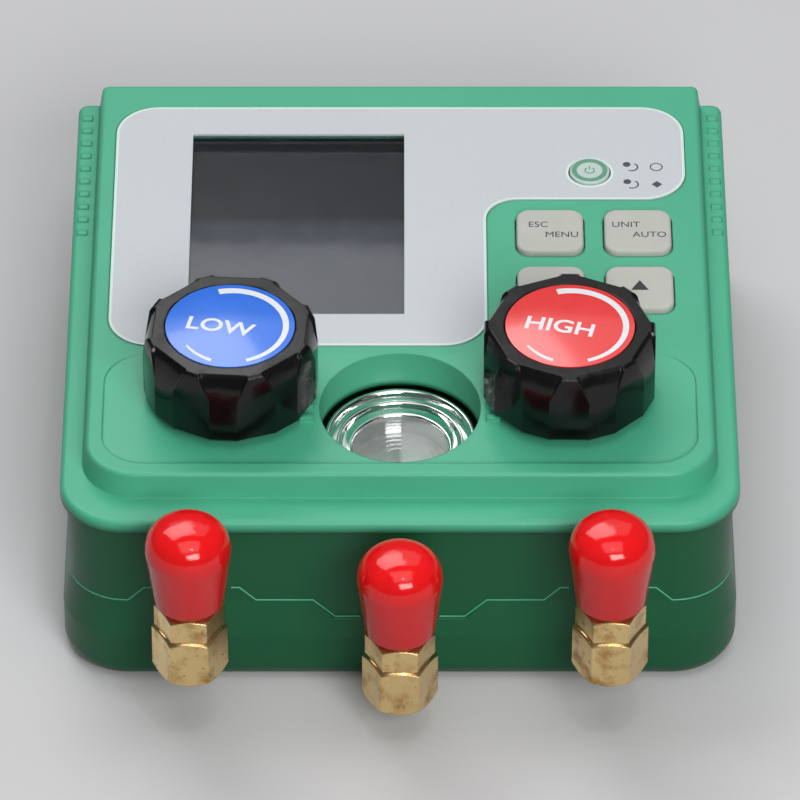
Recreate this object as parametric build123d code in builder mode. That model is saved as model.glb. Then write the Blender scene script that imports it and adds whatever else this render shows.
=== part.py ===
"""Digital refrigerant gauge with two valves, three capped ports, a display and five keys.

It lies on its back: +Z is out of the face and -Y is the port end. The origin is under the middle of the
whole instrument, ports included, on the surface it lies on.
All sizes are in millimetres.
"""
from build123d import *
import math
import os

os.makedirs("parts", exist_ok=True)

# Clearances
running_gap = 0.05
seat_gap = 0.05
key_gap = 0.25
hole_gap = 0.3
panel_gap = 0.2

# Housing
body_width = 124.0
body_length = 124.0
parting_below_port = 3.0
ledge_above_port = 16.5
plateau_rise = 5.0
wall = 2.5
floor_thickness = 2.5
front_corner_radius = 12.0
back_corner_radius = 6.0
ledge_back_radius = 2.0
ledge_overhang = 1.2
ledge_edge_radius = 1.1
swell_height = 11.0
bottom_edge_radius = 4.5
plateau_side_margin = 4.0
plateau_front_margin = 7.0
plateau_corner_radius = 10.0
plateau_taper = 9.0
plateau_edge_radius = 0.8

# Knob pocket in the raised face
pocket_side_margin = 7.6
pocket_front_margin = 11.0
pocket_back_from_front = 42.0
pocket_depth = 1.3
pocket_corner_radius = 8.0

# Grip bumps on the ledge, and tick ribs beside the sight glass
bump_count = 10
bump_pitch = 3.9
bump_length = 1.9
bump_width = 1.4
bump_rise = 0.3
bump_from_edge = 1.9
bump_row_from_back = 22.5
tick_count = 3
tick_pitch = 3.4
tick_length = 2.6
tick_width = 1.1
tick_rise = 0.5
tick_gap = 1.0

# Housing screws
screw_boss_radius = 4.0
screw_shank_radius = 1.5
screw_head_radius = 2.8
screw_head_height = 2.3
screw_seat_height = 5.0
screw_depth_in_front = 11.0
boss_side_margin = 9.0
boss_back_margin = 9.0
boss_front_margin = 10.0
boss_middle_from_back = 34.0
screw_socket_radius = 1.2

# Ports
port_spread = 0.3065
port_stand_off = 13.5
outer_port_height = 22.0
centre_port_drop = 7.0
port_stub_radius = 6.0
port_thread_radius = 5.9
port_thread_length = 5.5
elbow_hex_radius = 6.9
elbow_hex_above = 4.3
elbow_foot_radius = 4.83
elbow_body_below = 6.5
elbow_bore_radius = 3.0
elbow_chamfer = 0.8
elbow_chamfer_reach = 1.28
spigot_radius = 4.2
spigot_length = 3.0
hex_radius = 6.4
hex_height = 5.0
hex_chamfer = 0.7
hex_chamfer_reach = 1.19
neck_radius = 4.8
neck_height = 1.2
flare_thread_radius = 5.55
flare_thread_length = 11.2
flare_nose_height = 1.9
flare_nose_radius = 3.4
port_bore_radius = 2.4
cap_bulge_radius = 7.8
cap_rim_radius = 6.4
cap_body_length = 11.2
cap_dome_height = 6.4
parting_flat_outer = 8.7
parting_flat_centre = 11.9

# Manifold block
block_end = 10.0
block_length = 26.0
block_above_port = 10.0
block_bottom = 6.0
block_from_front = 16.0
block_chamfer = 0.8
gallery_radius = 2.5
chamber_radius = 8.0
chamber_depth = 12.0
seat_radius = 3.0
plug_radius = 4.0
plug_length = 6.0
block_screw_radius = 2.0
block_screw_depth = 6.0
block_screw_x = 16.0
block_screw_inset = 4.0
block_pad_radius = 5.0

# Valves
valve_spread = 0.25
valve_from_front = 31.4
valve_travel = 2.5
seat_disc_radius = 5.0
seat_disc_thickness = 1.2
piston_radius = 6.0
piston_height = 2.8
nose_radius = 2.0
nose_length = 2.2
stem_thread_radius = 5.0
stem_thread_length = 9.4
stem_radius = 4.0
o_ring_section = 0.85
o_ring_land = 0.45
stem_hole_gap = 1.2
bonnet_thread_radius = 7.95
bonnet_thread_length = 4.5
bonnet_hex_radius = 10.0
bonnet_lip = 1.6

# Knobs
knob_across_flats = 31.3
knob_lobes = 8
knob_corner_flat_radius = 15.85
knob_corner_flat_width = 5.6
knob_lobe_edge_radius = 0.35
knob_face_gap = 1.0
knob_height = 14.5
knob_top_radius = 14.9
knob_bevel_height = 1.2
knob_scoop_height = 4.9
knob_scoop_depth = 1.55
knob_scoop_width = 8.4
knob_skirt_wall = 2.2
knob_hollow_depth = 5.5
knob_hub_radius = 7.0
low_knob_turn = -4.0
high_knob_turn = 21.5
insert_radius = 11.8
insert_recess_depth = 1.6
insert_dome = 0.7
knob_screw_head_radius = 3.4
knob_screw_head_height = 2.2
knob_screw_radius = 1.5
knob_screw_length = 9.0
knob_screw_cover = 1.2

# Sight glass
sight_from_front = 27.4
well_radius = 14.8
well_wall = 1.8
ring_radius = 14.2
ring_height = 4.0
ring_thread_radius = 11.0
ring_thread_length = 2.5
ring_thread_gap = 1.0
ring_opening_radius = 8.6
ring_step_radius = 11.6
ring_step_depth = 1.6
ring_rim_land = 0.8
ring_step_land = 1.0
glass_radius = 9.6
glass_thickness = 3.0
glass_seal_height = 1.0
sight_chamber_radius = 5.5
reflector_radius = 8.3
reflector_depth = 3.6
reflector_eye_radius = 2.2
reflector_wall = 0.8

# Face label
label_side_margin = 7.7
label_back_margin = 7.7
label_from_front = 44.2
label_key_margin_x = 5.5
label_key_margin_y = 4.05
label_corner_share = 0.279
label_notch_radius = 6.0
label_thickness = 0.45
label_recess = 0.3

# Display
view_left_share = 0.3185
view_right_share = 0.0065
view_back_margin = 16.2
view_from_front = 53.5
pane_border = 3.0
pane_thickness = 1.5
view_wall_ledge = 1.0
lcd_border = 1.6
lcd_thickness = 2.2
lcd_gap = 0.6
frame_wall = 1.5

# Keys
key_gap_y = 4.4
key_corner_radius = 2.6
key_gap_x = 3.9
key_pitch_share = 0.1371
key_right_margin = 17.3
keys_from_front = 53.95
key_rise = 1.2
key_travel = 0.8
key_flange_width = 1.2
key_flange_thickness = 1.1
power_key_radius = 3.8
power_key_from_right_key = 8.7
power_key_above_keys = 12.35
power_key_rise = 0.7
mat_gap = 0.3
switch_width = 6.0
switch_height = 1.5

# Circuit board
board_side_margin = 13.5
board_from_front = 45.0
board_back_margin = 5.0
board_corner_radius = 2.0
board_thickness = 1.6
board_below_face = 7.6
board_boss_radius = 2.8
board_screw_radius = 1.1
board_screw_head_radius = 2.2
board_screw_head_height = 1.4
board_screw_length = 5.0
board_screw_margin = 3.2
chip_width = 12.0
chip_height = 1.6
socket_width = 8.0
socket_depth = 6.0
socket_height = 4.0
buzzer_radius = 6.0
buzzer_height = 6.5

# Pressure sensors and their leads
sensor_thread_radius = 4.5
sensor_thread_length = 4.5
sensor_hex_radius = 8.0
sensor_hex_length = 5.0
sensor_can_radius = 6.4
sensor_can_length = 12.0
sensor_end_radius = 4.5
sensor_end_length = 3.0
sensor_clearance = 0.7
lead_radius = 1.4
lead_run = 8.0
lead_bend_share = 0.46

# Battery bay
cell_radius = 5.25
cell_length = 44.5
cell_nub_radius = 1.9
cell_nub_length = 0.9
cell_pitch = 11.0
spring_length = 2.6
spring_radius = 3.2
spring_wire_radius = 0.35
spring_pitch = 1.2
contact_thickness = 0.4
contact_height = 8.5
bay_gap = 0.4
bay_wall = 1.5
bay_side_gap = 0.5
door_thickness = 1.7
door_lip = 1.0
door_recess = 0.2

# Hanging hook
hook_pivot_from_back = 6.0
hook_pivot_height = 2.7
hook_knuckle_radius = 2.4
hook_side_gap = 0.3
hook_pin_radius = 1.25
hook_plate = 2.2
hook_shank_width = 6.5
hook_shank_share = 0.0887
hook_outer_share = 0.0726
hook_band = 3.8
hook_tip_angle = 200.0
hook_recess_gap = 1.4
hook_recess_depth = 5.4
hook_recess_wall = 2.0

# Heights and places that follow from the sizes above
parting_height = outer_port_height - parting_below_port
ledge_height = outer_port_height + ledge_above_port
plateau_height = ledge_height + plateau_rise
face_underside = plateau_height - wall
ledge_underside = ledge_height - wall
front_y = (port_stand_off + cap_bulge_radius - body_length) / 2
back_y = front_y + body_length
skirt_wall_inset = ledge_overhang + wall
wall_inside_y = front_y + skirt_wall_inset
centre_port_height = outer_port_height - centre_port_drop
port_y = front_y - port_stand_off
valve_y = front_y + valve_from_front
sight_y = front_y + sight_from_front
block_front_y = front_y + block_from_front
block_back_y = block_front_y + block_length
block_top = outer_port_height + block_above_port
seat_height = block_top - chamber_depth
port_offset = port_spread * body_width
valve_offset = valve_spread * body_width
block_half_width = port_offset + block_end
gallery_height = centre_port_height
knob_bottom = plateau_height + knob_face_gap
knob_top = knob_bottom + knob_height
ports = {"low": (-port_offset, outer_port_height), "centre": (0.0, centre_port_height),
         "high": (port_offset, outer_port_height)}
valves = {"low": (-valve_offset, low_knob_turn), "high": (valve_offset, high_knob_turn)}
boss_x = body_width / 2 - boss_side_margin
boss_places = [(side * boss_x, y) for side in (-1, 1)
               for y in (front_y + boss_front_margin, back_y - boss_middle_from_back,
                         back_y - boss_back_margin)]
view_left = -view_left_share * body_width
view_right = view_right_share * body_width
view_length = body_length - view_back_margin - view_from_front
view_back_y = back_y - view_back_margin
view_centre_x = (view_left + view_right) / 2
view_centre_y = view_back_y - view_length / 2
view_width = view_right - view_left
key_pitch_y = key_pitch_share * body_length
key_width = key_pitch_y - key_gap_y
key_pitch_x = key_width + key_gap_x
key_back_y = front_y + keys_from_front + key_width / 2 + key_pitch_y
key_right_x = body_width / 2 - key_right_margin
power_key_x = key_right_x - power_key_from_right_key
power_key_y = key_back_y + key_width / 2 + power_key_above_keys
label_left = -body_width / 2 + label_side_margin
label_front_y = front_y + label_from_front
label_back_y = back_y - label_back_margin
label_notch_x = key_right_x - key_pitch_x - key_width / 2 - label_key_margin_x
label_notch_y = key_back_y + key_width / 2 + label_key_margin_y
label_corner_radius = label_corner_share * (label_back_y - label_notch_y)
key_places = {"menu": (key_right_x - key_pitch_x, key_back_y), "unit": (key_right_x, key_back_y),
              "down": (key_right_x - key_pitch_x, key_back_y - key_pitch_y),
              "up": (key_right_x, key_back_y - key_pitch_y)}
board_bottom = face_underside - board_below_face
board_top = board_bottom + board_thickness
board_half_width = body_width / 2 - board_side_margin
board_front_y = front_y + board_from_front
board_back_y = back_y - board_back_margin
board_screw_places = [(side * (board_half_width - board_screw_margin), y) for side in (-1, 1)
                      for y in (board_front_y + board_screw_margin, board_back_y - board_screw_margin)]
bay_half_length = cell_length + (spring_length + 3 * contact_thickness + bay_gap) / 2
bay_half_width = cell_pitch / 2 + cell_radius + bay_side_gap
cell_height = door_recess + door_thickness + bay_gap + cell_radius
bay_top = cell_height + cell_radius + bay_gap
sensor_height = bay_top + bay_wall + sensor_hex_radius - sensor_clearance
pivot_y = back_y - hook_pivot_from_back
hook_shank_length = hook_shank_share * body_length
hook_outer_radius = hook_outer_share * body_length
hook_inner_radius = hook_outer_radius - hook_band
hook_centre_y = pivot_y - hook_shank_length - hook_outer_radius
hook_recess_half = hook_outer_radius + hook_recess_gap
hook_knuckle_length = 2 * (hook_recess_half - hook_side_gap)
hook_recess_front = hook_centre_y - hook_outer_radius - hook_recess_gap
hook_box_front = hook_recess_front - hook_recess_wall
bay_y = (block_back_y + hook_box_front) / 2


def finish(piece, name):
    """Label a finished piece and write its file."""
    piece.part.label = name
    export_step(piece.part, f"parts/{name}.step")


def outline(half_x, low_y, high_y, front_radius, rear_radius):
    """Plan rectangle with its own corner radii at the port end and at the far end."""
    with BuildSketch() as shape:
        with Locations((0, (low_y + high_y) / 2)):
            Rectangle(2 * half_x, high_y - low_y)
        fillet(shape.vertices().group_by(Axis.Y)[0], front_radius)
        fillet(shape.vertices().group_by(Axis.Y)[-1], rear_radius)
    return shape.sketch


def body_outline(inset, rear_radius):
    """Housing plan, moved in by an inset."""
    return outline(body_width / 2 - inset, front_y + inset, back_y - inset,
                   front_corner_radius - inset, rear_radius)


def plateau_outline(inset):
    """Plan of the raised face, moved in by an inset."""
    return outline(body_width / 2 - plateau_side_margin - inset, front_y + plateau_front_margin + inset,
                   back_y - inset, plateau_corner_radius - inset, ledge_back_radius)


def parting_step(centre_x, flat_half, low_z, high_z, wide_z):
    """Trapezium on the front wall, with 45 degree sides, that carries the parting line past a port."""
    ramp = high_z - low_z
    low_half = flat_half + ramp if wide_z == low_z else flat_half
    high_half = flat_half + ramp if wide_z == high_z else flat_half
    with BuildSketch() as shape:
        with BuildLine():
            Polyline((centre_x - low_half, low_z), (centre_x + low_half, low_z),
                     (centre_x + high_half, high_z), (centre_x - high_half, high_z), close=True)
        make_face()
    return shape.sketch


def label_outline(inset):
    """Label plan: a rounded rectangle with its lower right corner cut away for the keys."""
    left = label_left + inset
    right = -label_left - inset
    top = label_back_y - inset
    bottom = label_front_y + inset
    notch_x = label_notch_x - inset
    notch_y = label_notch_y + inset
    with BuildSketch() as shape:
        with BuildLine():
            Polyline((left, bottom), (left, top), (right, top), (right, notch_y),
                     (notch_x, notch_y), (notch_x, bottom), close=True)
        make_face()
        inner_corner = shape.vertices().sort_by_distance((notch_x, notch_y))[0]
        outer_corners = [corner for corner in shape.vertices() if corner != inner_corner]
        fillet(outer_corners, label_corner_radius)
        inner_corner = shape.vertices().sort_by_distance((notch_x, notch_y))[0]
        fillet(inner_corner, label_notch_radius)
    return shape.sketch


def key_outline(grow):
    """Plan of one square key, made larger all round by grow."""
    with BuildSketch() as shape:
        RectangleRounded(key_width + 2 * grow, key_width + 2 * grow, key_corner_radius + grow)
    return shape.sketch


# Wedge that sinks the face round the knobs, deepest at the port end
pocket_front_y = front_y + pocket_front_margin
pocket_back_y = front_y + pocket_back_from_front
with BuildPart() as knob_pocket:
    with BuildSketch(Plane.XY.offset(plateau_height - pocket_depth)):
        add(outline(body_width / 2 - pocket_side_margin, pocket_front_y, pocket_back_y,
                    pocket_corner_radius, pocket_corner_radius))
    extrude(amount=2 * pocket_depth)
    with BuildSketch(Plane.YZ.offset(-body_width / 2)):
        with BuildLine():
            Polyline((pocket_front_y, plateau_height - pocket_depth),
                     (pocket_back_y, plateau_height - pocket_depth), (pocket_back_y, plateau_height),
                     close=True)
        make_face()
    extrude(amount=body_width, mode=Mode.SUBTRACT)

# Front housing
with BuildPart() as front_housing:
    with BuildSketch(Plane.XY.offset(parting_height)):
        add(body_outline(ledge_overhang, back_corner_radius))
    extrude(amount=ledge_underside - parting_height)
    with BuildSketch(Plane.XY.offset(ledge_underside)):
        add(body_outline(0, ledge_back_radius))
    extrude(amount=wall)
    fillet(front_housing.faces().sort_by(Axis.Z)[-1].edges(), ledge_edge_radius)
    with BuildSketch(Plane.XY.offset(ledge_height)):
        add(plateau_outline(0))
    extrude(amount=plateau_rise, taper=plateau_taper)
    fillet(front_housing.faces().sort_by(Axis.Z)[-1].edges(), plateau_edge_radius)
    # Space inside, in two steps below the ledge and below the raised face
    with BuildSketch(Plane.XY.offset(parting_height)):
        add(body_outline(skirt_wall_inset, back_corner_radius - wall))
    extrude(amount=ledge_underside - parting_height, mode=Mode.SUBTRACT)
    with BuildSketch(Plane.XY.offset(ledge_underside)):
        add(plateau_outline(wall))
    extrude(amount=face_underside - ledge_underside, mode=Mode.SUBTRACT)
    # Parting line raised at the outer ports and lowered at the centre port
    with BuildSketch(Plane.XZ.offset(-wall_inside_y)):
        for port_x, port_z in (ports["low"], ports["high"]):
            add(parting_step(port_x, parting_flat_outer, parting_height, port_z, parting_height))
    extrude(amount=2 * wall, mode=Mode.SUBTRACT)
    with BuildSketch(Plane.XZ.offset(-wall_inside_y)):
        add(parting_step(0, parting_flat_centre, centre_port_height, parting_height, parting_height))
    extrude(amount=wall)
    # Screw bosses and board bosses
    with BuildSketch(Plane.XY.offset(parting_height)):
        with Locations(*boss_places):
            Circle(screw_boss_radius)
    extrude(amount=ledge_underside + wall / 2 - parting_height)
    with BuildSketch(Plane.XY.offset(board_top)):
        with Locations(*board_screw_places):
            Circle(board_boss_radius)
    extrude(amount=face_underside - board_top)
    with BuildSketch(Plane.XY.offset(parting_height)):
        with Locations(*boss_places):
            Circle(screw_shank_radius)
    extrude(amount=screw_depth_in_front, mode=Mode.SUBTRACT)
    with BuildSketch(Plane.XY.offset(board_top)):
        with Locations(*board_screw_places):
            Circle(board_screw_radius)
    extrude(amount=board_screw_length - board_thickness, mode=Mode.SUBTRACT)
    # Sight-glass well
    with BuildSketch(Plane.XY.offset(block_top + ring_height)):
        with Locations((0, sight_y)):
            Circle(well_radius + well_wall)
    extrude(amount=face_underside - block_top - ring_height)
    add(knob_pocket.part, mode=Mode.SUBTRACT)
    with BuildSketch(Plane.XY.offset(block_top + ring_height)):
        with Locations((0, sight_y)):
            Circle(well_radius)
    extrude(amount=plateau_height - block_top, mode=Mode.SUBTRACT)
    # Label recess, window pane seat and view opening
    with BuildSketch(Plane.XY.offset(plateau_height - label_recess)):
        add(label_outline(0))
    extrude(amount=label_recess, mode=Mode.SUBTRACT)
    with BuildSketch(Plane.XY.offset(plateau_height - label_recess - pane_thickness)):
        with Locations((view_centre_x, view_centre_y)):
            Rectangle(view_width + 2 * pane_border, view_length + 2 * pane_border)
    extrude(amount=pane_thickness, mode=Mode.SUBTRACT)
    with BuildSketch(Plane.XY.offset(face_underside)):
        with Locations((view_centre_x, view_centre_y)):
            Rectangle(view_width + 2 * view_wall_ledge, view_length + 2 * view_wall_ledge)
        for key_x, key_y in key_places.values():
            with Locations((key_x, key_y)):
                add(key_outline(key_gap))
        with Locations((power_key_x, power_key_y)):
            Circle(power_key_radius + key_gap)
        with Locations(*[(valve_x, valve_y) for valve_x, turn in valves.values()]):
            Circle(stem_radius + stem_hole_gap)
    extrude(amount=wall, mode=Mode.SUBTRACT)
    # Holes for the port stubs
    for port_x, port_z in ports.values():
        with BuildSketch(Plane.XZ.offset(-wall_inside_y)):
            with Locations((port_x, port_z)):
                Circle(port_stub_radius + hole_gap)
        extrude(amount=2 * wall, mode=Mode.SUBTRACT)
    # Grip bumps along both ledges
    with BuildSketch(Plane.XY.offset(ledge_height)):
        for side in (-1, 1):
            with Locations((side * (body_width / 2 - bump_from_edge), back_y - bump_row_from_back)):
                with GridLocations(0, bump_pitch, 1, bump_count):
                    Rectangle(bump_length, bump_width)
    extrude(amount=bump_rise)
    # Tick ribs on both sides of the sight glass
    tick_x = well_radius + tick_gap + tick_length / 2
    with BuildSketch(Plane.XY.offset(plateau_height - pocket_depth)):
        for side in (-1, 1):
            with Locations((side * tick_x, sight_y)):
                with GridLocations(0, tick_pitch, 1, tick_count):
                    Rectangle(tick_length, tick_width)
    extrude(amount=pocket_depth + tick_rise / 2)
finish(front_housing, "front_housing")

# Rear housing
swell_taper = math.degrees(math.atan(ledge_overhang / (parting_height - swell_height)))
with BuildPart() as rear_housing:
    with BuildSketch(Plane.XY):
        add(body_outline(0, back_corner_radius + ledge_overhang))
    extrude(amount=swell_height)
    fillet(rear_housing.faces().sort_by(Axis.Z)[0].edges(), bottom_edge_radius)
    with BuildSketch(Plane.XY.offset(swell_height)):
        add(body_outline(0, back_corner_radius + ledge_overhang))
    extrude(amount=parting_height - swell_height, taper=swell_taper)
    with BuildSketch(Plane.XY.offset(floor_thickness)):
        add(body_outline(skirt_wall_inset, back_corner_radius - wall))
    extrude(amount=parting_height, mode=Mode.SUBTRACT)
    # Parting line raised at the outer ports and lowered at the centre port
    with BuildSketch(Plane.XZ.offset(-wall_inside_y)):
        for port_x, port_z in (ports["low"], ports["high"]):
            add(parting_step(port_x, parting_flat_outer, parting_height, port_z, parting_height))
    extrude(amount=wall)
    with BuildSketch(Plane.XZ.offset(-wall_inside_y)):
        add(parting_step(0, parting_flat_centre, centre_port_height, parting_height, parting_height))
    extrude(amount=2 * wall, mode=Mode.SUBTRACT)
    # Screw bosses, block pads, battery bay and hook recess, added solid
    with BuildSketch(Plane.XY.offset(floor_thickness)):
        with Locations(*boss_places):
            Circle(screw_boss_radius)
    extrude(amount=parting_height - floor_thickness)
    with BuildSketch(Plane.XY.offset(floor_thickness)):
        with Locations((0, (block_front_y + block_back_y) / 2)):
            with GridLocations(2 * block_screw_x, block_length - 2 * block_screw_inset, 2, 2):
                Circle(block_pad_radius)
    extrude(amount=block_bottom - floor_thickness)
    with BuildSketch(Plane.XY.offset(floor_thickness)):
        with Locations((0, bay_y)):
            Rectangle(2 * (bay_half_length + bay_wall), 2 * (bay_half_width + bay_wall))
    extrude(amount=bay_top + bay_wall - floor_thickness)
    hook_box_back = back_y - skirt_wall_inset
    with BuildSketch(Plane.XY.offset(floor_thickness)):
        with Locations((0, (hook_box_back + hook_box_front) / 2)):
            Rectangle(2 * (hook_recess_half + hook_recess_wall), hook_box_back - hook_box_front)
    extrude(amount=hook_recess_depth + hook_recess_wall - floor_thickness)
    # Battery bay opening with a rabbet for the door
    with BuildSketch(Plane.XY):
        with Locations((0, bay_y)):
            Rectangle(2 * bay_half_length, 2 * bay_half_width)
    extrude(amount=bay_top, mode=Mode.SUBTRACT)
    with BuildSketch(Plane.XY):
        with Locations((0, bay_y)):
            Rectangle(2 * (bay_half_length + door_lip), 2 * (bay_half_width + door_lip))
    extrude(amount=door_recess + door_thickness, mode=Mode.SUBTRACT)
    # Hook recess, open at the far end so that the hook can swing right over
    with BuildSketch(Plane.XY):
        with Locations((0, (back_y + hook_recess_front) / 2)):
            Rectangle(2 * hook_recess_half, back_y - hook_recess_front)
    extrude(amount=hook_recess_depth, mode=Mode.SUBTRACT)
    with BuildSketch(Plane.YZ.offset(-hook_recess_half - hook_recess_wall)):
        with Locations((pivot_y, hook_pivot_height)):
            Circle(hook_pin_radius)
    extrude(amount=2 * (hook_recess_half + hook_recess_wall), mode=Mode.SUBTRACT)
    # Screw holes from the back
    with BuildSketch(Plane.XY):
        with Locations(*boss_places):
            Circle(screw_shank_radius + panel_gap)
    extrude(amount=parting_height, mode=Mode.SUBTRACT)
    with BuildSketch(Plane.XY):
        with Locations(*boss_places):
            Circle(screw_head_radius + panel_gap)
    extrude(amount=screw_seat_height, mode=Mode.SUBTRACT)
    with BuildSketch(Plane.XY):
        with Locations((0, (block_front_y + block_back_y) / 2)):
            with GridLocations(2 * block_screw_x, block_length - 2 * block_screw_inset, 2, 2):
                Circle(block_screw_radius + panel_gap)
    extrude(amount=block_bottom, mode=Mode.SUBTRACT)
    with BuildSketch(Plane.XY):
        with Locations((0, (block_front_y + block_back_y) / 2)):
            with GridLocations(2 * block_screw_x, block_length - 2 * block_screw_inset, 2, 2):
                Circle(screw_head_radius + block_screw_radius)
    extrude(amount=screw_head_height, mode=Mode.SUBTRACT)
    # Holes for the port stubs
    for port_x, port_z in ports.values():
        with BuildSketch(Plane.XZ.offset(-wall_inside_y)):
            with Locations((port_x, port_z)):
                Circle(port_stub_radius + hole_gap)
        extrude(amount=2 * wall, mode=Mode.SUBTRACT)
finish(rear_housing, "rear_housing")

# Housing screws, driven in from the back
with BuildPart() as housing_screws:
    with BuildSketch(Plane.XY.offset(screw_seat_height - screw_head_height)):
        with Locations(*boss_places):
            Circle(screw_head_radius)
            RegularPolygon(screw_socket_radius, 6, mode=Mode.SUBTRACT)
    extrude(amount=screw_head_height)
    with BuildSketch(Plane.XY.offset(screw_seat_height - panel_gap)):
        with Locations(*boss_places):
            Circle(screw_shank_radius)
    extrude(amount=parting_height + screw_depth_in_front - screw_seat_height)
finish(housing_screws, "housing_screws")

# Face label
with BuildPart() as face_label:
    with BuildSketch(Plane.XY.offset(plateau_height - label_recess)):
        add(label_outline(panel_gap))
        with Locations((view_centre_x, view_centre_y)):
            Rectangle(view_width, view_length, mode=Mode.SUBTRACT)
        with Locations((power_key_x, power_key_y)):
            Circle(power_key_radius + key_gap, mode=Mode.SUBTRACT)
    extrude(amount=label_thickness)
finish(face_label, "face_label")

# Display window pane, liquid crystal panel and the frame that holds it on the board
with BuildPart() as display_window:
    with BuildSketch(Plane.XY.offset(plateau_height - label_recess - pane_thickness)):
        with Locations((view_centre_x, view_centre_y)):
            Rectangle(view_width + 2 * (pane_border - panel_gap),
                      view_length + 2 * (pane_border - panel_gap))
    extrude(amount=pane_thickness)
finish(display_window, "display_window")

lcd_top = face_underside - lcd_gap
with BuildPart() as lcd_panel:
    with BuildSketch(Plane.XY.offset(lcd_top - lcd_thickness)):
        with Locations((view_centre_x, view_centre_y)):
            Rectangle(view_width + 2 * lcd_border, view_length + 2 * lcd_border)
    extrude(amount=lcd_thickness)
finish(lcd_panel, "lcd_panel")

with BuildPart() as lcd_frame:
    with BuildSketch(Plane.XY.offset(board_top)):
        with Locations((view_centre_x, view_centre_y)):
            Rectangle(view_width + 2 * (lcd_border + frame_wall),
                      view_length + 2 * (lcd_border + frame_wall))
    extrude(amount=lcd_top - board_top)
    with BuildSketch(Plane.XY.offset(lcd_top - lcd_thickness)):
        with Locations((view_centre_x, view_centre_y)):
            Rectangle(view_width + 2 * lcd_border, view_length + 2 * lcd_border)
    extrude(amount=lcd_thickness, mode=Mode.SUBTRACT)
finish(lcd_frame, "lcd_frame")

# Main circuit board with its screws
with BuildPart() as circuit_board:
    with BuildSketch(Plane.XY.offset(board_bottom)):
        add(outline(board_half_width, board_front_y, board_back_y,
                    board_corner_radius, board_corner_radius))
        with Locations(*board_screw_places):
            Circle(board_screw_radius + panel_gap, mode=Mode.SUBTRACT)
    extrude(amount=board_thickness)
finish(circuit_board, "circuit_board")

with BuildPart() as board_screws:
    with BuildSketch(Plane.XY.offset(board_bottom - board_screw_head_height)):
        with Locations(*board_screw_places):
            Circle(board_screw_head_radius)
    extrude(amount=board_screw_head_height)
    with BuildSketch(Plane.XY.offset(board_bottom)):
        with Locations(*board_screw_places):
            Circle(board_screw_radius)
    extrude(amount=board_screw_length)
finish(board_screws, "board_screws")

# Processor, lead sockets and buzzer under the board
socket_y = block_back_y + sensor_hex_length + sensor_can_length + sensor_end_length + lead_run
with BuildPart() as board_parts:
    with BuildSketch(Plane.XY.offset(board_bottom - chip_height)):
        with Locations((0, view_centre_y)):
            Rectangle(chip_width, chip_width)
    extrude(amount=chip_height)
    with BuildSketch(Plane.XY.offset(board_bottom - socket_height)):
        with Locations((-port_offset, socket_y), (port_offset, socket_y)):
            Rectangle(socket_width, socket_depth)
    extrude(amount=socket_height)
    with BuildSketch(Plane.XY.offset(board_bottom - buzzer_height)):
        with Locations((power_key_x, power_key_y)):
            Circle(buzzer_radius)
    extrude(amount=buzzer_height)
finish(board_parts, "board_parts")

# Key switches on the board, and the silicone mat over them
switch_places = list(key_places.values()) + [(power_key_x, power_key_y)]
with BuildPart() as key_switches:
    with BuildSketch(Plane.XY.offset(board_top)):
        with Locations(*switch_places):
            Rectangle(switch_width, switch_width)
    extrude(amount=switch_height)
finish(key_switches, "key_switches")

mat_bottom = board_top + switch_height
key_flange_top = face_underside - seat_gap
mat_top = key_flange_top - key_flange_thickness - key_travel - mat_gap
with BuildPart() as keypad_mat:
    with BuildSketch(Plane.XY.offset(mat_bottom)):
        with Locations(((key_right_x + key_right_x - key_pitch_x) / 2, key_back_y - key_pitch_y / 2)):
            Rectangle(key_pitch_x + key_width, key_pitch_y + key_width)
        with Locations((power_key_x, power_key_y)):
            Rectangle(2 * power_key_radius + key_width, 2 * power_key_radius + key_width)
    extrude(amount=mat_top - mat_bottom)
finish(keypad_mat, "keypad_mat")

# Keys: a cap that shows in the face, over a flange that the face holds in
for key_name, key_place in key_places.items():
    with BuildPart() as key:
        with BuildSketch(Plane.XY.offset(key_flange_top - key_flange_thickness)):
            with Locations(key_place):
                add(key_outline(key_flange_width))
        extrude(amount=key_flange_thickness)
        with BuildSketch(Plane.XY.offset(key_flange_top)):
            with Locations(key_place):
                add(key_outline(0))
        extrude(amount=plateau_height + key_rise - key_flange_top)
        fillet(key.faces().sort_by(Axis.Z)[-1].edges(), key_rise / 2)
    finish(key, f"{key_name}_key")

with BuildPart() as power_key:
    with BuildSketch(Plane.XY.offset(key_flange_top - key_flange_thickness)):
        with Locations((power_key_x, power_key_y)):
            Circle(power_key_radius + key_flange_width)
    extrude(amount=key_flange_thickness)
    with BuildSketch(Plane.XY.offset(key_flange_top)):
        with Locations((power_key_x, power_key_y)):
            Circle(power_key_radius)
    extrude(amount=plateau_height + power_key_rise - key_flange_top)
    fillet(power_key.faces().sort_by(Axis.Z)[-1].edges(), power_key_rise / 2)
finish(power_key, "power_key")

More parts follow.
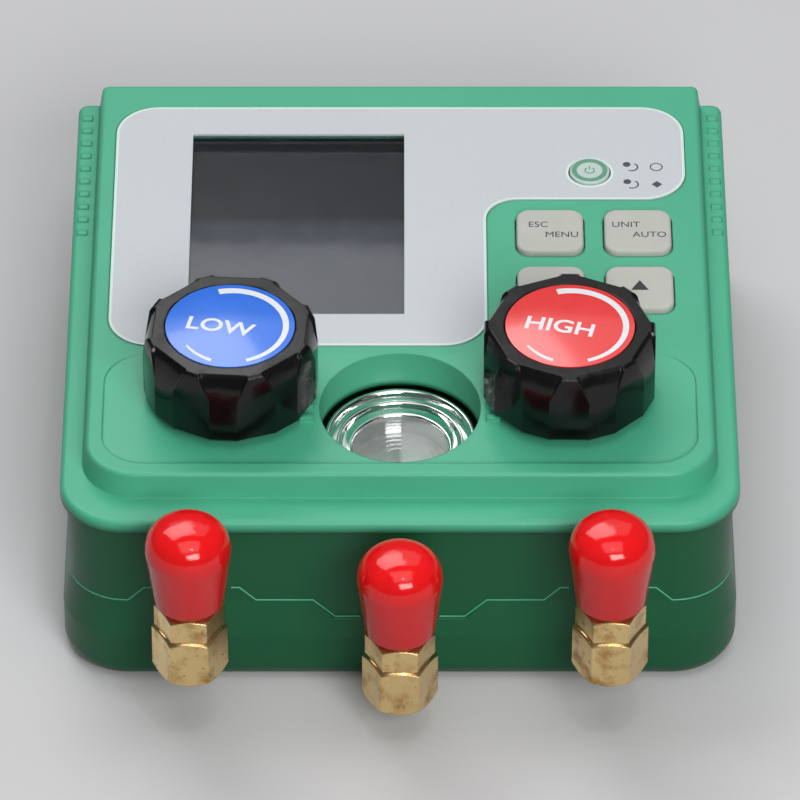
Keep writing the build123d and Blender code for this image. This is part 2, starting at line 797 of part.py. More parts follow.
# Manifold block with its galleries
ring_bottom = block_top - ring_thread_length
glass_bottom = ring_bottom - glass_thickness - glass_seal_height
reflector_bottom = glass_bottom - reflector_depth
with BuildPart() as manifold_block:
    with BuildSketch(Plane.XY.offset(block_bottom)):
        with Locations((0, (block_front_y + block_back_y) / 2)):
            Rectangle(2 * block_half_width, block_length)
    extrude(amount=block_top - block_bottom)
    chamfer(manifold_block.edges(), block_chamfer)
    # Valve chambers, seats and the sight chamber
    with BuildSketch(Plane.XY.offset(seat_height)):
        with Locations(*[(valve_x, valve_y) for valve_x, turn in valves.values()]):
            Circle(chamber_radius)
    extrude(amount=block_top - seat_height, mode=Mode.SUBTRACT)
    with BuildSketch(Plane.XY.offset(gallery_height)):
        with Locations(*[(valve_x, valve_y) for valve_x, turn in valves.values()]):
            Circle(seat_radius)
    extrude(amount=seat_height - gallery_height, mode=Mode.SUBTRACT)
    for bore_radius, bore_bottom in ((sight_chamber_radius, gallery_height),
                                     (reflector_radius + seat_gap, reflector_bottom),
                                     (glass_radius + panel_gap, glass_bottom),
                                     (ring_thread_radius, ring_bottom - ring_thread_gap)):
        with BuildSketch(Plane.XY.offset(bore_bottom)):
            with Locations((0, sight_y)):
                Circle(bore_radius)
        extrude(amount=block_top - bore_bottom, mode=Mode.SUBTRACT)
    # Common gallery across the block, closed by a plug at each end
    with BuildSketch(Plane.YZ.offset(-block_half_width)):
        with Locations((valve_y, gallery_height)):
            Circle(gallery_radius)
    extrude(amount=2 * block_half_width, mode=Mode.SUBTRACT)
    for side in (-1, 1):
        with BuildSketch(Plane.YZ.offset(side * block_half_width)):
            with Locations((valve_y, gallery_height)):
                Circle(plug_radius)
        extrude(amount=-side * plug_length, mode=Mode.SUBTRACT)
    # Port and sensor passages
    for port_x, port_z in ports.values():
        with BuildSketch(Plane.XZ.offset(-block_front_y)):
            with Locations((port_x, port_z)):
                Circle(port_thread_radius)
        extrude(amount=-port_thread_length, mode=Mode.SUBTRACT)
        with BuildSketch(Plane.XZ.offset(-block_front_y)):
            with Locations((port_x, port_z)):
                Circle(gallery_radius)
        extrude(amount=-(valve_y - block_front_y), mode=Mode.SUBTRACT)
    with BuildSketch(Plane.XZ.offset(-valve_y)):
        with Locations((-port_offset, sensor_height), (port_offset, sensor_height)):
            Circle(gallery_radius)
    extrude(amount=-(block_back_y - valve_y), mode=Mode.SUBTRACT)
    with BuildSketch(Plane.XZ.offset(-block_back_y)):
        with Locations((-port_offset, sensor_height), (port_offset, sensor_height)):
            Circle(sensor_thread_radius)
    extrude(amount=sensor_thread_length, mode=Mode.SUBTRACT)
    with BuildSketch(Plane.XY.offset(block_bottom)):
        with Locations((0, (block_front_y + block_back_y) / 2)):
            with GridLocations(2 * block_screw_x, block_length - 2 * block_screw_inset, 2, 2):
                Circle(block_screw_radius)
    extrude(amount=block_screw_depth, mode=Mode.SUBTRACT)
finish(manifold_block, "manifold_block")

with BuildPart() as gallery_plugs:
    for side in (-1, 1):
        with BuildSketch(Plane.YZ.offset(side * block_half_width)):
            with Locations((valve_y, gallery_height)):
                Circle(plug_radius)
        extrude(amount=-side * plug_length)
finish(gallery_plugs, "gallery_plugs")

with BuildPart() as block_screws:
    with BuildSketch(Plane.XY.offset(door_recess)):
        with Locations((0, (block_front_y + block_back_y) / 2)):
            with GridLocations(2 * block_screw_x, block_length - 2 * block_screw_inset, 2, 2):
                Circle(screw_head_radius + block_screw_radius - panel_gap)
    extrude(amount=screw_head_height - door_recess)
    with BuildSketch(Plane.XY.offset(screw_head_height)):
        with Locations((0, (block_front_y + block_back_y) / 2)):
            with GridLocations(2 * block_screw_x, block_length - 2 * block_screw_inset, 2, 2):
                Circle(block_screw_radius)
    extrude(amount=block_bottom + block_screw_depth - screw_head_height)
finish(block_screws, "block_screws")

# Valves: seat disc, piston, stem, O-ring and bonnet, then the knob and its insert and screw
disc_bottom = seat_height + seat_gap
piston_bottom = disc_bottom + seat_disc_thickness
thread_bottom = piston_bottom + piston_height + seat_gap
thread_top = thread_bottom + stem_thread_length
nose_bottom = thread_bottom - nose_length
o_ring_height = thread_top + o_ring_land + o_ring_section
bonnet_bottom = block_top - bonnet_thread_length
bonnet_top = o_ring_height + o_ring_section + valve_travel + seat_gap + bonnet_lip
insert_bottom = knob_top - insert_recess_depth
stem_top = insert_bottom - knob_screw_head_height - knob_screw_cover
knob_corner_radius = knob_across_flats / 2 / math.cos(math.pi / knob_lobes)
dome_radius = (insert_radius ** 2 + insert_dome ** 2) / (2 * insert_dome)
dome_angle = math.degrees(math.asin(insert_radius / dome_radius))
for side_name, (valve_x, knob_turn) in valves.items():
    with BuildPart() as seat_disc:
        with BuildSketch(Plane.XY.offset(disc_bottom)):
            with Locations((valve_x, valve_y)):
                Circle(seat_disc_radius)
        extrude(amount=seat_disc_thickness)
    finish(seat_disc, f"{side_name}_seat_disc")

    with BuildPart() as piston:
        with BuildSketch(Plane.XY.offset(piston_bottom)):
            with Locations((valve_x, valve_y)):
                Circle(piston_radius)
        extrude(amount=piston_height)
        with BuildSketch(Plane.XY.offset(nose_bottom - seat_gap)):
            with Locations((valve_x, valve_y)):
                Circle(nose_radius + running_gap)
        extrude(amount=piston_height, mode=Mode.SUBTRACT)
    finish(piston, f"{side_name}_piston")

    with BuildPart() as stem:
        with BuildSketch(Plane.XY.offset(nose_bottom)):
            with Locations((valve_x, valve_y)):
                Circle(nose_radius)
        extrude(amount=nose_length)
        with BuildSketch(Plane.XY.offset(thread_bottom)):
            with Locations((valve_x, valve_y)):
                Circle(stem_thread_radius)
        extrude(amount=stem_thread_length)
        with BuildSketch(Plane.XY.offset(thread_top)):
            with Locations((valve_x, valve_y)):
                Circle(stem_radius)
        extrude(amount=stem_top - thread_top)
        with BuildSketch(Plane.XY.offset(o_ring_height - o_ring_section)):
            with Locations((valve_x, valve_y)):
                Circle(stem_thread_radius)
                Circle(stem_thread_radius - 2 * o_ring_section, mode=Mode.SUBTRACT)
        extrude(amount=2 * o_ring_section, mode=Mode.SUBTRACT)
        with BuildSketch(Plane.XY.offset(stem_top - knob_screw_length)):
            with Locations((valve_x, valve_y)):
                Circle(knob_screw_radius)
        extrude(amount=knob_screw_length, mode=Mode.SUBTRACT)
    finish(stem, f"{side_name}_stem")

    with BuildPart() as o_ring:
        with BuildSketch(Plane.XZ.offset(-valve_y)):
            with Locations((valve_x + stem_thread_radius - o_ring_section, o_ring_height)):
                Circle(o_ring_section)
        revolve(axis=Axis((valve_x, valve_y, 0), (0, 0, 1)))
    finish(o_ring, f"{side_name}_stem_o_ring")

    with BuildPart() as bonnet:
        with BuildSketch(Plane.XY.offset(bonnet_bottom)):
            with Locations((valve_x, valve_y)):
                Circle(bonnet_thread_radius)
        extrude(amount=bonnet_thread_length)
        with BuildSketch(Plane.XY.offset(block_top)):
            with Locations((valve_x, valve_y)):
                RegularPolygon(bonnet_hex_radius, 6)
        extrude(amount=bonnet_top - block_top)
        with BuildSketch(Plane.XY.offset(bonnet_bottom)):
            with Locations((valve_x, valve_y)):
                Circle(stem_thread_radius + running_gap)
        extrude(amount=bonnet_top - bonnet_lip - bonnet_bottom, mode=Mode.SUBTRACT)
        with BuildSketch(Plane.XY.offset(bonnet_bottom)):
            with Locations((valve_x, valve_y)):
                Circle(stem_radius + running_gap)
        extrude(amount=bonnet_top - bonnet_bottom, mode=Mode.SUBTRACT)
    finish(bonnet, f"{side_name}_bonnet")

    with BuildPart() as knob:
        with BuildSketch(Plane.XY.offset(knob_bottom)) as knob_plan:
            with Locations(Location((valve_x, valve_y), knob_turn)):
                RegularPolygon(knob_across_flats / 2, knob_lobes, major_radius=False)
                with PolarLocations(knob_corner_flat_radius + knob_corner_flat_width / 2, knob_lobes):
                    Rectangle(knob_corner_flat_width, knob_corner_flat_width, mode=Mode.SUBTRACT)
            fillet(knob_plan.vertices(), knob_lobe_edge_radius)
        extrude(amount=knob_top - knob_bottom)
        # Bevel that runs from the top rim out to the lobes
        with BuildSketch(Plane.XZ.offset(-valve_y)):
            with BuildLine():
                Polyline((valve_x, knob_bottom), (valve_x + knob_corner_radius, knob_bottom),
                         (valve_x + knob_corner_radius, knob_top - knob_bevel_height),
                         (valve_x + knob_top_radius, knob_top), (valve_x, knob_top), close=True)
            make_face()
        revolve(axis=Axis((valve_x, valve_y, 0), (0, 0, 1)), mode=Mode.INTERSECT)
        # Sloping scoop at the top of each flattened corner
        for lobe in range(knob_lobes):
            heading = math.radians(knob_turn + lobe * 360 / knob_lobes)
            scoop_plane = Plane(origin=(valve_x, valve_y, 0), x_dir=(math.cos(heading), math.sin(heading), 0),
                                z_dir=(math.sin(heading), -math.cos(heading), 0))
            with BuildSketch(scoop_plane):
                with BuildLine():
                    Polyline((knob_corner_flat_radius, knob_top - knob_scoop_height),
                             (knob_corner_radius, knob_top - knob_scoop_height), (knob_corner_radius, knob_top),
                             (knob_corner_flat_radius - knob_scoop_depth, knob_top), close=True)
                make_face()
            extrude(amount=knob_scoop_width / 2, both=True, mode=Mode.SUBTRACT)
        with BuildSketch(Plane.XY.offset(insert_bottom)):
            with Locations((valve_x, valve_y)):
                Circle(insert_radius + panel_gap)
        extrude(amount=insert_recess_depth, mode=Mode.SUBTRACT)
        with BuildSketch(Plane.XY.offset(knob_bottom)):
            with Locations((valve_x, valve_y)):
                Circle(knob_corner_flat_radius - knob_skirt_wall)
                Circle(knob_hub_radius, mode=Mode.SUBTRACT)
        extrude(amount=knob_hollow_depth, mode=Mode.SUBTRACT)
        with BuildSketch(Plane.XY.offset(knob_bottom)):
            with Locations((valve_x, valve_y)):
                Circle(stem_radius)
        extrude(amount=stem_top - knob_bottom, mode=Mode.SUBTRACT)
        with BuildSketch(Plane.XY.offset(stem_top)):
            with Locations((valve_x, valve_y)):
                Circle(knob_screw_head_radius + panel_gap)
        extrude(amount=insert_bottom - stem_top, mode=Mode.SUBTRACT)
    finish(knob, f"{side_name}_knob")

    with BuildPart() as insert:
        with BuildSketch(Plane.XZ.offset(-valve_y)):
            with BuildLine():
                Line((valve_x, insert_bottom), (valve_x + insert_radius, insert_bottom))
                Line((valve_x + insert_radius, insert_bottom), (valve_x + insert_radius, knob_top))
                CenterArc((valve_x, knob_top + insert_dome - dome_radius), dome_radius,
                          start_angle=90 - dome_angle, arc_size=dome_angle)
                Line((valve_x, knob_top + insert_dome), (valve_x, insert_bottom))
            make_face()
        revolve(axis=Axis((valve_x, valve_y, 0), (0, 0, 1)))
    finish(insert, f"{side_name}_knob_insert")

    with BuildPart() as knob_screw:
        with BuildSketch(Plane.XY.offset(stem_top - knob_screw_length)):
            with Locations((valve_x, valve_y)):
                Circle(knob_screw_radius)
        extrude(amount=knob_screw_length)
        with BuildSketch(Plane.XY.offset(stem_top)):
            with Locations((valve_x, valve_y)):
                Circle(knob_screw_head_radius)
        extrude(amount=knob_screw_head_height)
    finish(knob_screw, f"{side_name}_knob_screw")

# Sight glass: dished reflector, seal, glass and the bevelled ring that holds them down
with BuildPart() as sight_reflector:
    with BuildSketch(Plane.YZ):
        with BuildLine():
            Polyline((sight_y + reflector_eye_radius, reflector_bottom),
                     (sight_y + sight_chamber_radius + reflector_wall, reflector_bottom),
                     (sight_y + reflector_radius, glass_bottom - reflector_wall),
                     (sight_y + reflector_radius, glass_bottom),
                     (sight_y + reflector_radius - reflector_wall, glass_bottom),
                     (sight_y + reflector_eye_radius + reflector_wall, reflector_bottom + reflector_wall),
                     (sight_y + reflector_eye_radius, reflector_bottom + reflector_wall), close=True)
        make_face()
    revolve(axis=Axis((0, sight_y, 0), (0, 0, 1)))
finish(sight_reflector, "sight_glass_reflector")

with BuildPart() as sight_seal:
    with BuildSketch(Plane.XY.offset(glass_bottom)):
        with Locations((0, sight_y)):
            Circle(glass_radius)
            Circle(ring_opening_radius, mode=Mode.SUBTRACT)
    extrude(amount=glass_seal_height)
finish(sight_seal, "sight_glass_seal")

with BuildPart() as sight_glass:
    with BuildSketch(Plane.XY.offset(glass_bottom + glass_seal_height)):
        with Locations((0, sight_y)):
            Circle(glass_radius)
    extrude(amount=glass_thickness)
finish(sight_glass, "sight_glass")

ring_top = block_top + ring_height
with BuildPart() as sight_ring:
    with BuildSketch(Plane.YZ):
        with BuildLine():
            Polyline((sight_y + ring_opening_radius, ring_bottom),
                     (sight_y + ring_thread_radius, ring_bottom), (sight_y + ring_thread_radius, block_top),
                     (sight_y + ring_radius, block_top), (sight_y + ring_radius, ring_top),
                     (sight_y + ring_radius - ring_rim_land, ring_top),
                     (sight_y + ring_step_radius, ring_top - ring_step_depth),
                     (sight_y + ring_step_radius - ring_step_land, ring_top - ring_step_depth),
                     (sight_y + ring_opening_radius, ring_top - 2 * ring_step_depth), close=True)
        make_face()
    revolve(axis=Axis((0, sight_y, 0), (0, 0, 1)))
finish(sight_ring, "sight_glass_ring")

# Pressure sensors, screwed into the back of the block
for side_name, port_x in (("low", -port_offset), ("high", port_offset)):
    with BuildPart() as sensor:
        with BuildSketch(Plane.XZ.offset(-block_back_y)):
            with Locations((port_x, sensor_height)):
                Circle(sensor_thread_radius)
        extrude(amount=sensor_thread_length)
        with BuildSketch(Plane.XZ.offset(-block_back_y)):
            with Locations((port_x, sensor_height)):
                RegularPolygon(sensor_hex_radius, 6)
        extrude(amount=-sensor_hex_length)
        can_y = block_back_y + sensor_hex_length
        with BuildSketch(Plane.XZ.offset(-can_y)):
            with Locations((port_x, sensor_height)):
                Circle(sensor_can_radius)
        extrude(amount=-sensor_can_length)
        sensor_end_y = can_y + sensor_can_length
        with BuildSketch(Plane.XZ.offset(-sensor_end_y)):
            with Locations((port_x, sensor_height)):
                Circle(sensor_end_radius)
        extrude(amount=-sensor_end_length)
        with BuildSketch(Plane.XZ.offset(-block_back_y + sensor_thread_length)):
            with Locations((port_x, sensor_height)):
                Circle(gallery_radius)
        extrude(amount=-sensor_thread_length, mode=Mode.SUBTRACT)
    finish(sensor, f"{side_name}_pressure_sensor")

# Sensor leads, from the end of each sensor up to its socket
lead_start_y = sensor_end_y + sensor_end_length
socket_bottom = board_bottom - socket_height
lead_bend = lead_bend_share * (socket_bottom - sensor_height)
with BuildPart() as sensor_leads:
    for port_x in (-port_offset, port_offset):
        with BuildLine() as lead_path:
            FilletPolyline((port_x, lead_start_y, sensor_height), (port_x, socket_y, sensor_height),
                           (port_x, socket_y, socket_bottom), radius=lead_bend)
        with BuildSketch(Plane.XZ.offset(-lead_start_y)):
            with Locations((port_x, sensor_height)):
                Circle(lead_radius)
        sweep(path=lead_path.wire())
finish(sensor_leads, "sensor_leads")

# Ports: elbow, flare fitting and rubber cap
for port_name, (port_x, port_z) in ports.items():
    hex_bottom = port_z + elbow_hex_above
    hex_top = hex_bottom + hex_height
    flare_bottom = hex_top + neck_height
    flare_top = flare_bottom + flare_thread_length
    nose_top = flare_top + flare_nose_height
    with BuildPart() as elbow:
        elbow_foot = port_z - elbow_body_below
        with BuildSketch(Plane.XY.offset(elbow_foot)):
            with Locations((port_x, port_y)):
                RegularPolygon(elbow_hex_radius, 6)
        extrude(amount=elbow_body_below + elbow_hex_above)
        with BuildSketch(Plane.XZ.offset(-port_y)):
            with BuildLine():
                Polyline((port_x, elbow_foot), (port_x + elbow_foot_radius, elbow_foot),
                         (port_x + elbow_hex_radius, elbow_foot + 2 * elbow_chamfer),
                         (port_x + elbow_hex_radius, hex_bottom - elbow_chamfer),
                         (port_x + elbow_hex_radius - elbow_chamfer_reach, hex_bottom),
                         (port_x, hex_bottom), close=True)
            make_face()
        revolve(axis=Axis((port_x, port_y, 0), (0, 0, 1)), mode=Mode.INTERSECT)
        with BuildSketch(Plane.XZ.offset(-block_front_y)):
            with Locations((port_x, port_z)):
                Circle(port_stub_radius)
        extrude(amount=block_front_y - port_y - elbow_hex_radius * math.cos(math.pi / 6) + seat_gap)
        with BuildSketch(Plane.XZ.offset(-block_front_y)):
            with Locations((port_x, port_z)):
                Circle(port_thread_radius)
        extrude(amount=-port_thread_length)
        with BuildSketch(Plane.XZ.offset(-block_front_y - port_thread_length)):
            with Locations((port_x, port_z)):
                Circle(elbow_bore_radius)
        extrude(amount=block_front_y + port_thread_length - port_y, mode=Mode.SUBTRACT)
        with BuildSketch(Plane.XY.offset(port_z)):
            with Locations((port_x, port_y)):
                Circle(elbow_bore_radius)
        extrude(amount=elbow_hex_above, mode=Mode.SUBTRACT)
        with BuildSketch(Plane.XY.offset(hex_bottom - spigot_length)):
            with Locations((port_x, port_y)):
                Circle(spigot_radius)
        extrude(amount=spigot_length, mode=Mode.SUBTRACT)
    finish(elbow, f"{port_name}_port_elbow")

    with BuildPart() as fitting:
        with BuildSketch(Plane.XY.offset(hex_bottom)):
            with Locations((port_x, port_y)):
                RegularPolygon(hex_radius, 6)
        extrude(amount=hex_height)
        with BuildSketch(Plane.XZ.offset(-port_y)):
            with BuildLine():
                Polyline((port_x, hex_bottom), (port_x + hex_radius, hex_bottom),
                         (port_x + hex_radius, hex_top - hex_chamfer),
                         (port_x + hex_radius - hex_chamfer_reach, hex_top), (port_x, hex_top), close=True)
            make_face()
        revolve(axis=Axis((port_x, port_y, 0), (0, 0, 1)), mode=Mode.INTERSECT)
        with BuildSketch(Plane.XZ.offset(-port_y)):
            with BuildLine():
                spigot_bottom = hex_bottom - spigot_length
                neck_bottom = hex_top - neck_height
                Polyline((port_x, spigot_bottom), (port_x + spigot_radius, spigot_bottom),
                         (port_x + spigot_radius, neck_bottom), (port_x + neck_radius, neck_bottom),
                         (port_x + neck_radius, flare_bottom), (port_x + flare_thread_radius, flare_bottom),
                         (port_x + flare_thread_radius, flare_top), (port_x + flare_nose_radius, nose_top),
                         (port_x, nose_top), close=True)
            make_face()
        revolve(axis=Axis((port_x, port_y, 0), (0, 0, 1)))
        with BuildSketch(Plane.XY.offset(hex_bottom - spigot_length)):
            with Locations((port_x, port_y)):
                Circle(port_bore_radius)
        extrude(amount=nose_top - hex_bottom + spigot_length, mode=Mode.SUBTRACT)
    finish(fitting, f"{port_name}_flare_fitting")

    with BuildPart() as cap:
        cap_rim = flare_bottom
        dome_base = cap_rim + cap_body_length
        with BuildSketch(Plane.XZ.offset(-port_y)):
            with BuildLine():
                Line((port_x, cap_rim), (port_x + cap_rim_radius, cap_rim))
                Line((port_x + cap_rim_radius, cap_rim), (port_x + cap_bulge_radius, dome_base))
                Spline((port_x + cap_bulge_radius, dome_base), (port_x, dome_base + cap_dome_height),
                       tangents=((0, 1), (-1, 0)))
                Line((port_x, dome_base + cap_dome_height), (port_x, cap_rim))
            make_face()
        revolve(axis=Axis((port_x, port_y, 0), (0, 0, 1)))
        with BuildSketch(Plane.XY.offset(cap_rim)):
            with Locations((port_x, port_y)):
                Circle(flare_thread_radius + running_gap)
        extrude(amount=nose_top + seat_gap - cap_rim, mode=Mode.SUBTRACT)
    finish(cap, f"{port_name}_port_cap")

# Cells, lying two and two in line, with springs at one end and plates at the other
cell_rows = (bay_y - cell_pitch / 2, bay_y + cell_pitch / 2)
cells_start_x = -bay_half_length + contact_thickness
spring_room = spring_length + contact_thickness
with BuildPart() as battery_cells:
    for row, cell_y in enumerate(cell_rows):
        first_x = cells_start_x + (spring_room if row == 0 else bay_gap)
        for place in (0, 1):
            start_x = first_x + place * (cell_length + seat_gap)
            flip = row == 1
            body_start = start_x + cell_nub_length if flip else start_x
            nub_start = start_x if flip else start_x + cell_length - cell_nub_length
            with BuildSketch(Plane.YZ.offset(body_start)):
                with Locations((cell_y, cell_height)):
                    Circle(cell_radius)
            extrude(amount=cell_length - cell_nub_length)
            with BuildSketch(Plane.YZ.offset(nub_start)):
                with Locations((cell_y, cell_height)):
                    Circle(cell_nub_radius)
            extrude(amount=cell_nub_length)
finish(battery_cells, "battery_cells")

# Battery springs, one for each row, at opposite ends
row_end_x = bay_half_length - contact_thickness
with BuildPart() as battery_springs:
    for row, cell_y in enumerate(cell_rows):
        spring_x = cells_start_x if row == 0 else row_end_x - spring_room
        wire_room = spring_wire_radius + running_gap
        coil_start = (spring_x + wire_room, cell_y, cell_height)
        with BuildLine() as coil:
            Helix(spring_pitch, spring_room - 2 * wire_room, spring_radius, center=coil_start, direction=(1, 0, 0))
        with BuildSketch(Plane(origin=coil.wire() @ 0, z_dir=coil.wire() % 0)):
            Circle(spring_wire_radius)
        sweep(path=coil.wire(), is_frenet=True)
finish(battery_springs, "battery_springs")

# Contact plates on the end walls of the bay
with BuildPart() as battery_contacts:
    for side in (-1, 1):
        with BuildSketch(Plane.YZ.offset(side * bay_half_length)):
            with Locations((bay_y, cell_height)):
                Rectangle(2 * bay_half_width - bay_gap, contact_height)
        extrude(amount=-side * contact_thickness)
finish(battery_contacts, "battery_contacts")

# Battery door
with BuildPart() as battery_door:
    with BuildSketch(Plane.XY.offset(door_recess)):
        with Locations((0, bay_y)):
            Rectangle(2 * (bay_half_length + door_lip - panel_gap),
                      2 * (bay_half_width + door_lip - panel_gap))
    extrude(amount=door_thickness - seat_gap)
    fillet(battery_door.edges().filter_by(Axis.Z), door_lip / 2)
finish(battery_door, "battery_door")

# Hanging hook, folded into the back, and its pin
with BuildPart() as hanging_hook:
    with BuildSketch(Plane.YZ.offset(-hook_knuckle_length / 2)):
        with Locations((pivot_y, hook_pivot_height)):
            Circle(hook_knuckle_radius)
    extrude(amount=hook_knuckle_length)
    plate_bottom = hook_pivot_height - hook_plate / 2
    with BuildSketch(Plane.XY.offset(plate_bottom)):
        with Locations((0, pivot_y - (hook_shank_length + hook_outer_radius - hook_inner_radius) / 2)):
            Rectangle(hook_shank_width, hook_shank_length + hook_outer_radius - hook_inner_radius)
    extrude(amount=hook_plate)
    with BuildSketch(Plane.XY.offset(plate_bottom)) as hook_curl:
        with Locations((0, hook_centre_y)):
            Circle(hook_outer_radius)
            Circle(hook_inner_radius, mode=Mode.SUBTRACT)
        with BuildLine():
            reach = 2 * hook_outer_radius
            tip_x = reach * math.cos(math.radians(hook_tip_angle))
            tip_y = reach * math.sin(math.radians(hook_tip_angle))
            Polyline((0, hook_centre_y), (tip_x, hook_centre_y + tip_y), (-reach, hook_centre_y + reach),
                     (-hook_shank_width / 2, hook_centre_y + reach), (-hook_shank_width / 2, hook_centre_y),
                     close=True)
        make_face(mode=Mode.SUBTRACT)
    extrude(amount=hook_plate)
    with BuildSketch(Plane.YZ.offset(-hook_knuckle_length / 2)):
        with Locations((pivot_y, hook_pivot_height)):
            Circle(hook_pin_radius + running_gap)
    extrude(amount=hook_knuckle_length, mode=Mode.SUBTRACT)
finish(hanging_hook, "hanging_hook")

with BuildPart() as hook_pin:
    with BuildSketch(Plane.YZ.offset(-hook_recess_half - hook_recess_wall)):
        with Locations((pivot_y, hook_pivot_height)):
            Circle(hook_pin_radius)
    extrude(amount=2 * (hook_recess_half + hook_recess_wall))
finish(hook_pin, "hook_pin")
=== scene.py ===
"""Visual model of a digital refrigerant gauge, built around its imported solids.

Everything is in metres, in the frame of the solids: +Z out of the face, -Y towards the ports.
"""

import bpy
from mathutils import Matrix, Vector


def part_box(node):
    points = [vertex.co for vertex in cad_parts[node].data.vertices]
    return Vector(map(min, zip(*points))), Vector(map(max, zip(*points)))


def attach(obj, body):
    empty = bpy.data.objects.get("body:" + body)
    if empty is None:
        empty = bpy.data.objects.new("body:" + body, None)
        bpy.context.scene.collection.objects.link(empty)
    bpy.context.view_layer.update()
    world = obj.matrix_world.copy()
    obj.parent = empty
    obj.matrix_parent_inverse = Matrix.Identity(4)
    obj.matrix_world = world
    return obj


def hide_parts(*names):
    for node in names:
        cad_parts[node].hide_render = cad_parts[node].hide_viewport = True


bl_info = {
    "name": "Digital refrigerant gauge",
    "version": (1, 0, 0),
    "blender": (4, 5, 0),
    "location": "View3D > Sidebar > Gauge",
    "description": "Builds the finished look of a two-valve digital gauge over its solids",
    "category": "Object",
}

from math import atan2, cos, hypot, pi, radians, sin, sqrt

import bmesh
import bpy
from bpy.props import FloatProperty, FloatVectorProperty, PointerProperty, StringProperty
from mathutils import Matrix, Vector

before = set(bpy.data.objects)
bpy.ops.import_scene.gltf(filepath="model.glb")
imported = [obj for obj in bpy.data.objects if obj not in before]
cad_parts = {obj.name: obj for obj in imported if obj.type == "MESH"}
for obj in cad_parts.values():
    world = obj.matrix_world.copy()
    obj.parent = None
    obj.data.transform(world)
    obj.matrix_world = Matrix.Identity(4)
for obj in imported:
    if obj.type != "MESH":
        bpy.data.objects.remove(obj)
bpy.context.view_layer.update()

MM = 0.001
PORTS = ("low", "centre", "high")
KEYS = ("menu", "unit", "down", "up")

# Housing
LEDGE_HEIGHT = 38.5 * MM
# Painted shade: colour factors that darken the housing wall below the ledge, where the ledge overhangs it and
# little light reaches
WALL_PAINTED_SHADE = (0.08, 0.23, 0.15)
WALL_INSET = 1.2 * MM
FRONT_CORNER = 10.8 * MM
BACK_CORNER = 4.8 * MM
PARTING_HEIGHT = 19.0 * MM
PORT_HEIGHTS = {"low": 22.0 * MM, "centre": 15.0 * MM, "high": 22.0 * MM}
STEP_HALF = {"low": 8.7 * MM, "centre": 11.9 * MM, "high": 8.7 * MM}
STUB_ROOM = 7.2 * MM
CORNER_STEPS = 8
# Width of the painted highlight line along the label's edge
EDGE_HIGHLIGHT_WIDTH = 0.5 * MM
FLARE_NOSE = 2.0 * MM
FLARE_THREAD = 9.8 * MM
THREAD_PITCH = 1.27 * MM

# How far print stands above what it is printed on
# Rise of the painted highlight line above the label
EDGE_HIGHLIGHT_RISE = 0.015 * MM
SIGN_PRINT = 0.012 * MM
KEY_PRINT = 0.03 * MM
POWER_PRINT = 0.02 * MM

# Lamps beside the main one: name, place, power in watts, width and depth
LAMPS = (
    ("card_lamp", (0.0, 0.630, 0.901), 1.2, 0.90, 0.60),
    ("top_lamp", (0.05, -0.30, 1.10), 2.8, 0.80, 0.80),
    ("front_lamp", (0.30, -1.05, 0.80), 10.5, 0.70, 0.50),
    ("spark_lamp", (0.10, -0.45, 1.10), 0.50, 0.06, 0.06),
)

# Camera, looking down at the face from above the ports
CAMERA_PLACE = (0.0, -1.1192, 0.9614)
CAMERA_PITCH = radians(90 - 39.93)
CAMERA_LENS = 351.0

# Knobs
KNOB_SIDES = 8
KNOB_FLAT = 15.65 * MM
KNOB_CORNER_FLAT = 15.85 * MM
KNOB_FIRST_CORNER = {"low": radians(-94.0), "high": radians(-68.5)}
SCOOP_HEIGHT = 5.2 * MM
SCOOP_DEPTH = 1.5 * MM
CORNER_HALF = 2.6 * MM
SCOOP_HALF = 4.2 * MM
SCOOP_WALL = 0.35 * MM


def screen(red, green, blue):
    """Linear colour of a colour given as it looks on a screen, 0 to 255."""
    shares = (red / 255, green / 255, blue / 255)
    return tuple(share / 12.92 if share < 0.04 else ((share + 0.055) / 1.055) ** 2.4 for share in shares)


def shade(colour, factor):
    """The same colour, darker or lighter."""
    return tuple(min(1.0, part * factor) for part in colour[:3])


def middle(node):
    """Centre of a solid's box."""
    low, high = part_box(node)
    return (low + high) / 2


# Shader maths


class Signal:
    """A socket that can be used in an expression, which adds the nodes it needs."""

    def __init__(self, finish, socket):
        self.finish = finish
        self.socket = socket

    def maths(self, operation, first, second=None, clamp=False):
        sockets = {0: first} if second is None else {0: first, 1: second}
        node = self.finish.node("ShaderNodeMath", {"operation": operation, "use_clamp": clamp}, sockets)
        return Signal(self.finish, node.outputs[0])

    def __add__(self, other):
        return self.maths("ADD", self, other)

    def __radd__(self, other):
        return self.maths("ADD", other, self)

    def __sub__(self, other):
        return self.maths("SUBTRACT", self, other)

    def __rsub__(self, other):
        return self.maths("SUBTRACT", other, self)

    def __mul__(self, other):
        return self.maths("MULTIPLY", self, other)

    def __rmul__(self, other):
        return self.maths("MULTIPLY", other, self)

    def __truediv__(self, other):
        return self.maths("DIVIDE", self, other)

    def __pow__(self, other):
        return self.maths("POWER", self, other)

    def __abs__(self):
        return self.maths("ABSOLUTE", self)

    def __lt__(self, other):
        return self.maths("LESS_THAN", self, other)

    def __gt__(self, other):
        return self.maths("GREATER_THAN", self, other)

    def larger(self, other):
        return self.maths("MAXIMUM", self, other)

    def sine(self):
        return self.maths("SINE", self)

    def angle(self, other):
        """Angle whose tangent is this signal over the other."""
        return self.maths("ARCTAN2", self, other)

    def between(self, low, high):
        """0 up to low, 1 from high, smooth between them."""
        sockets = {"Value": self, "From Min": low, "From Max": high}
        node = self.finish.node("ShaderNodeMapRange", {"interpolation_type": "SMOOTHSTEP"}, sockets)
        return Signal(self.finish, node.outputs["Result"])


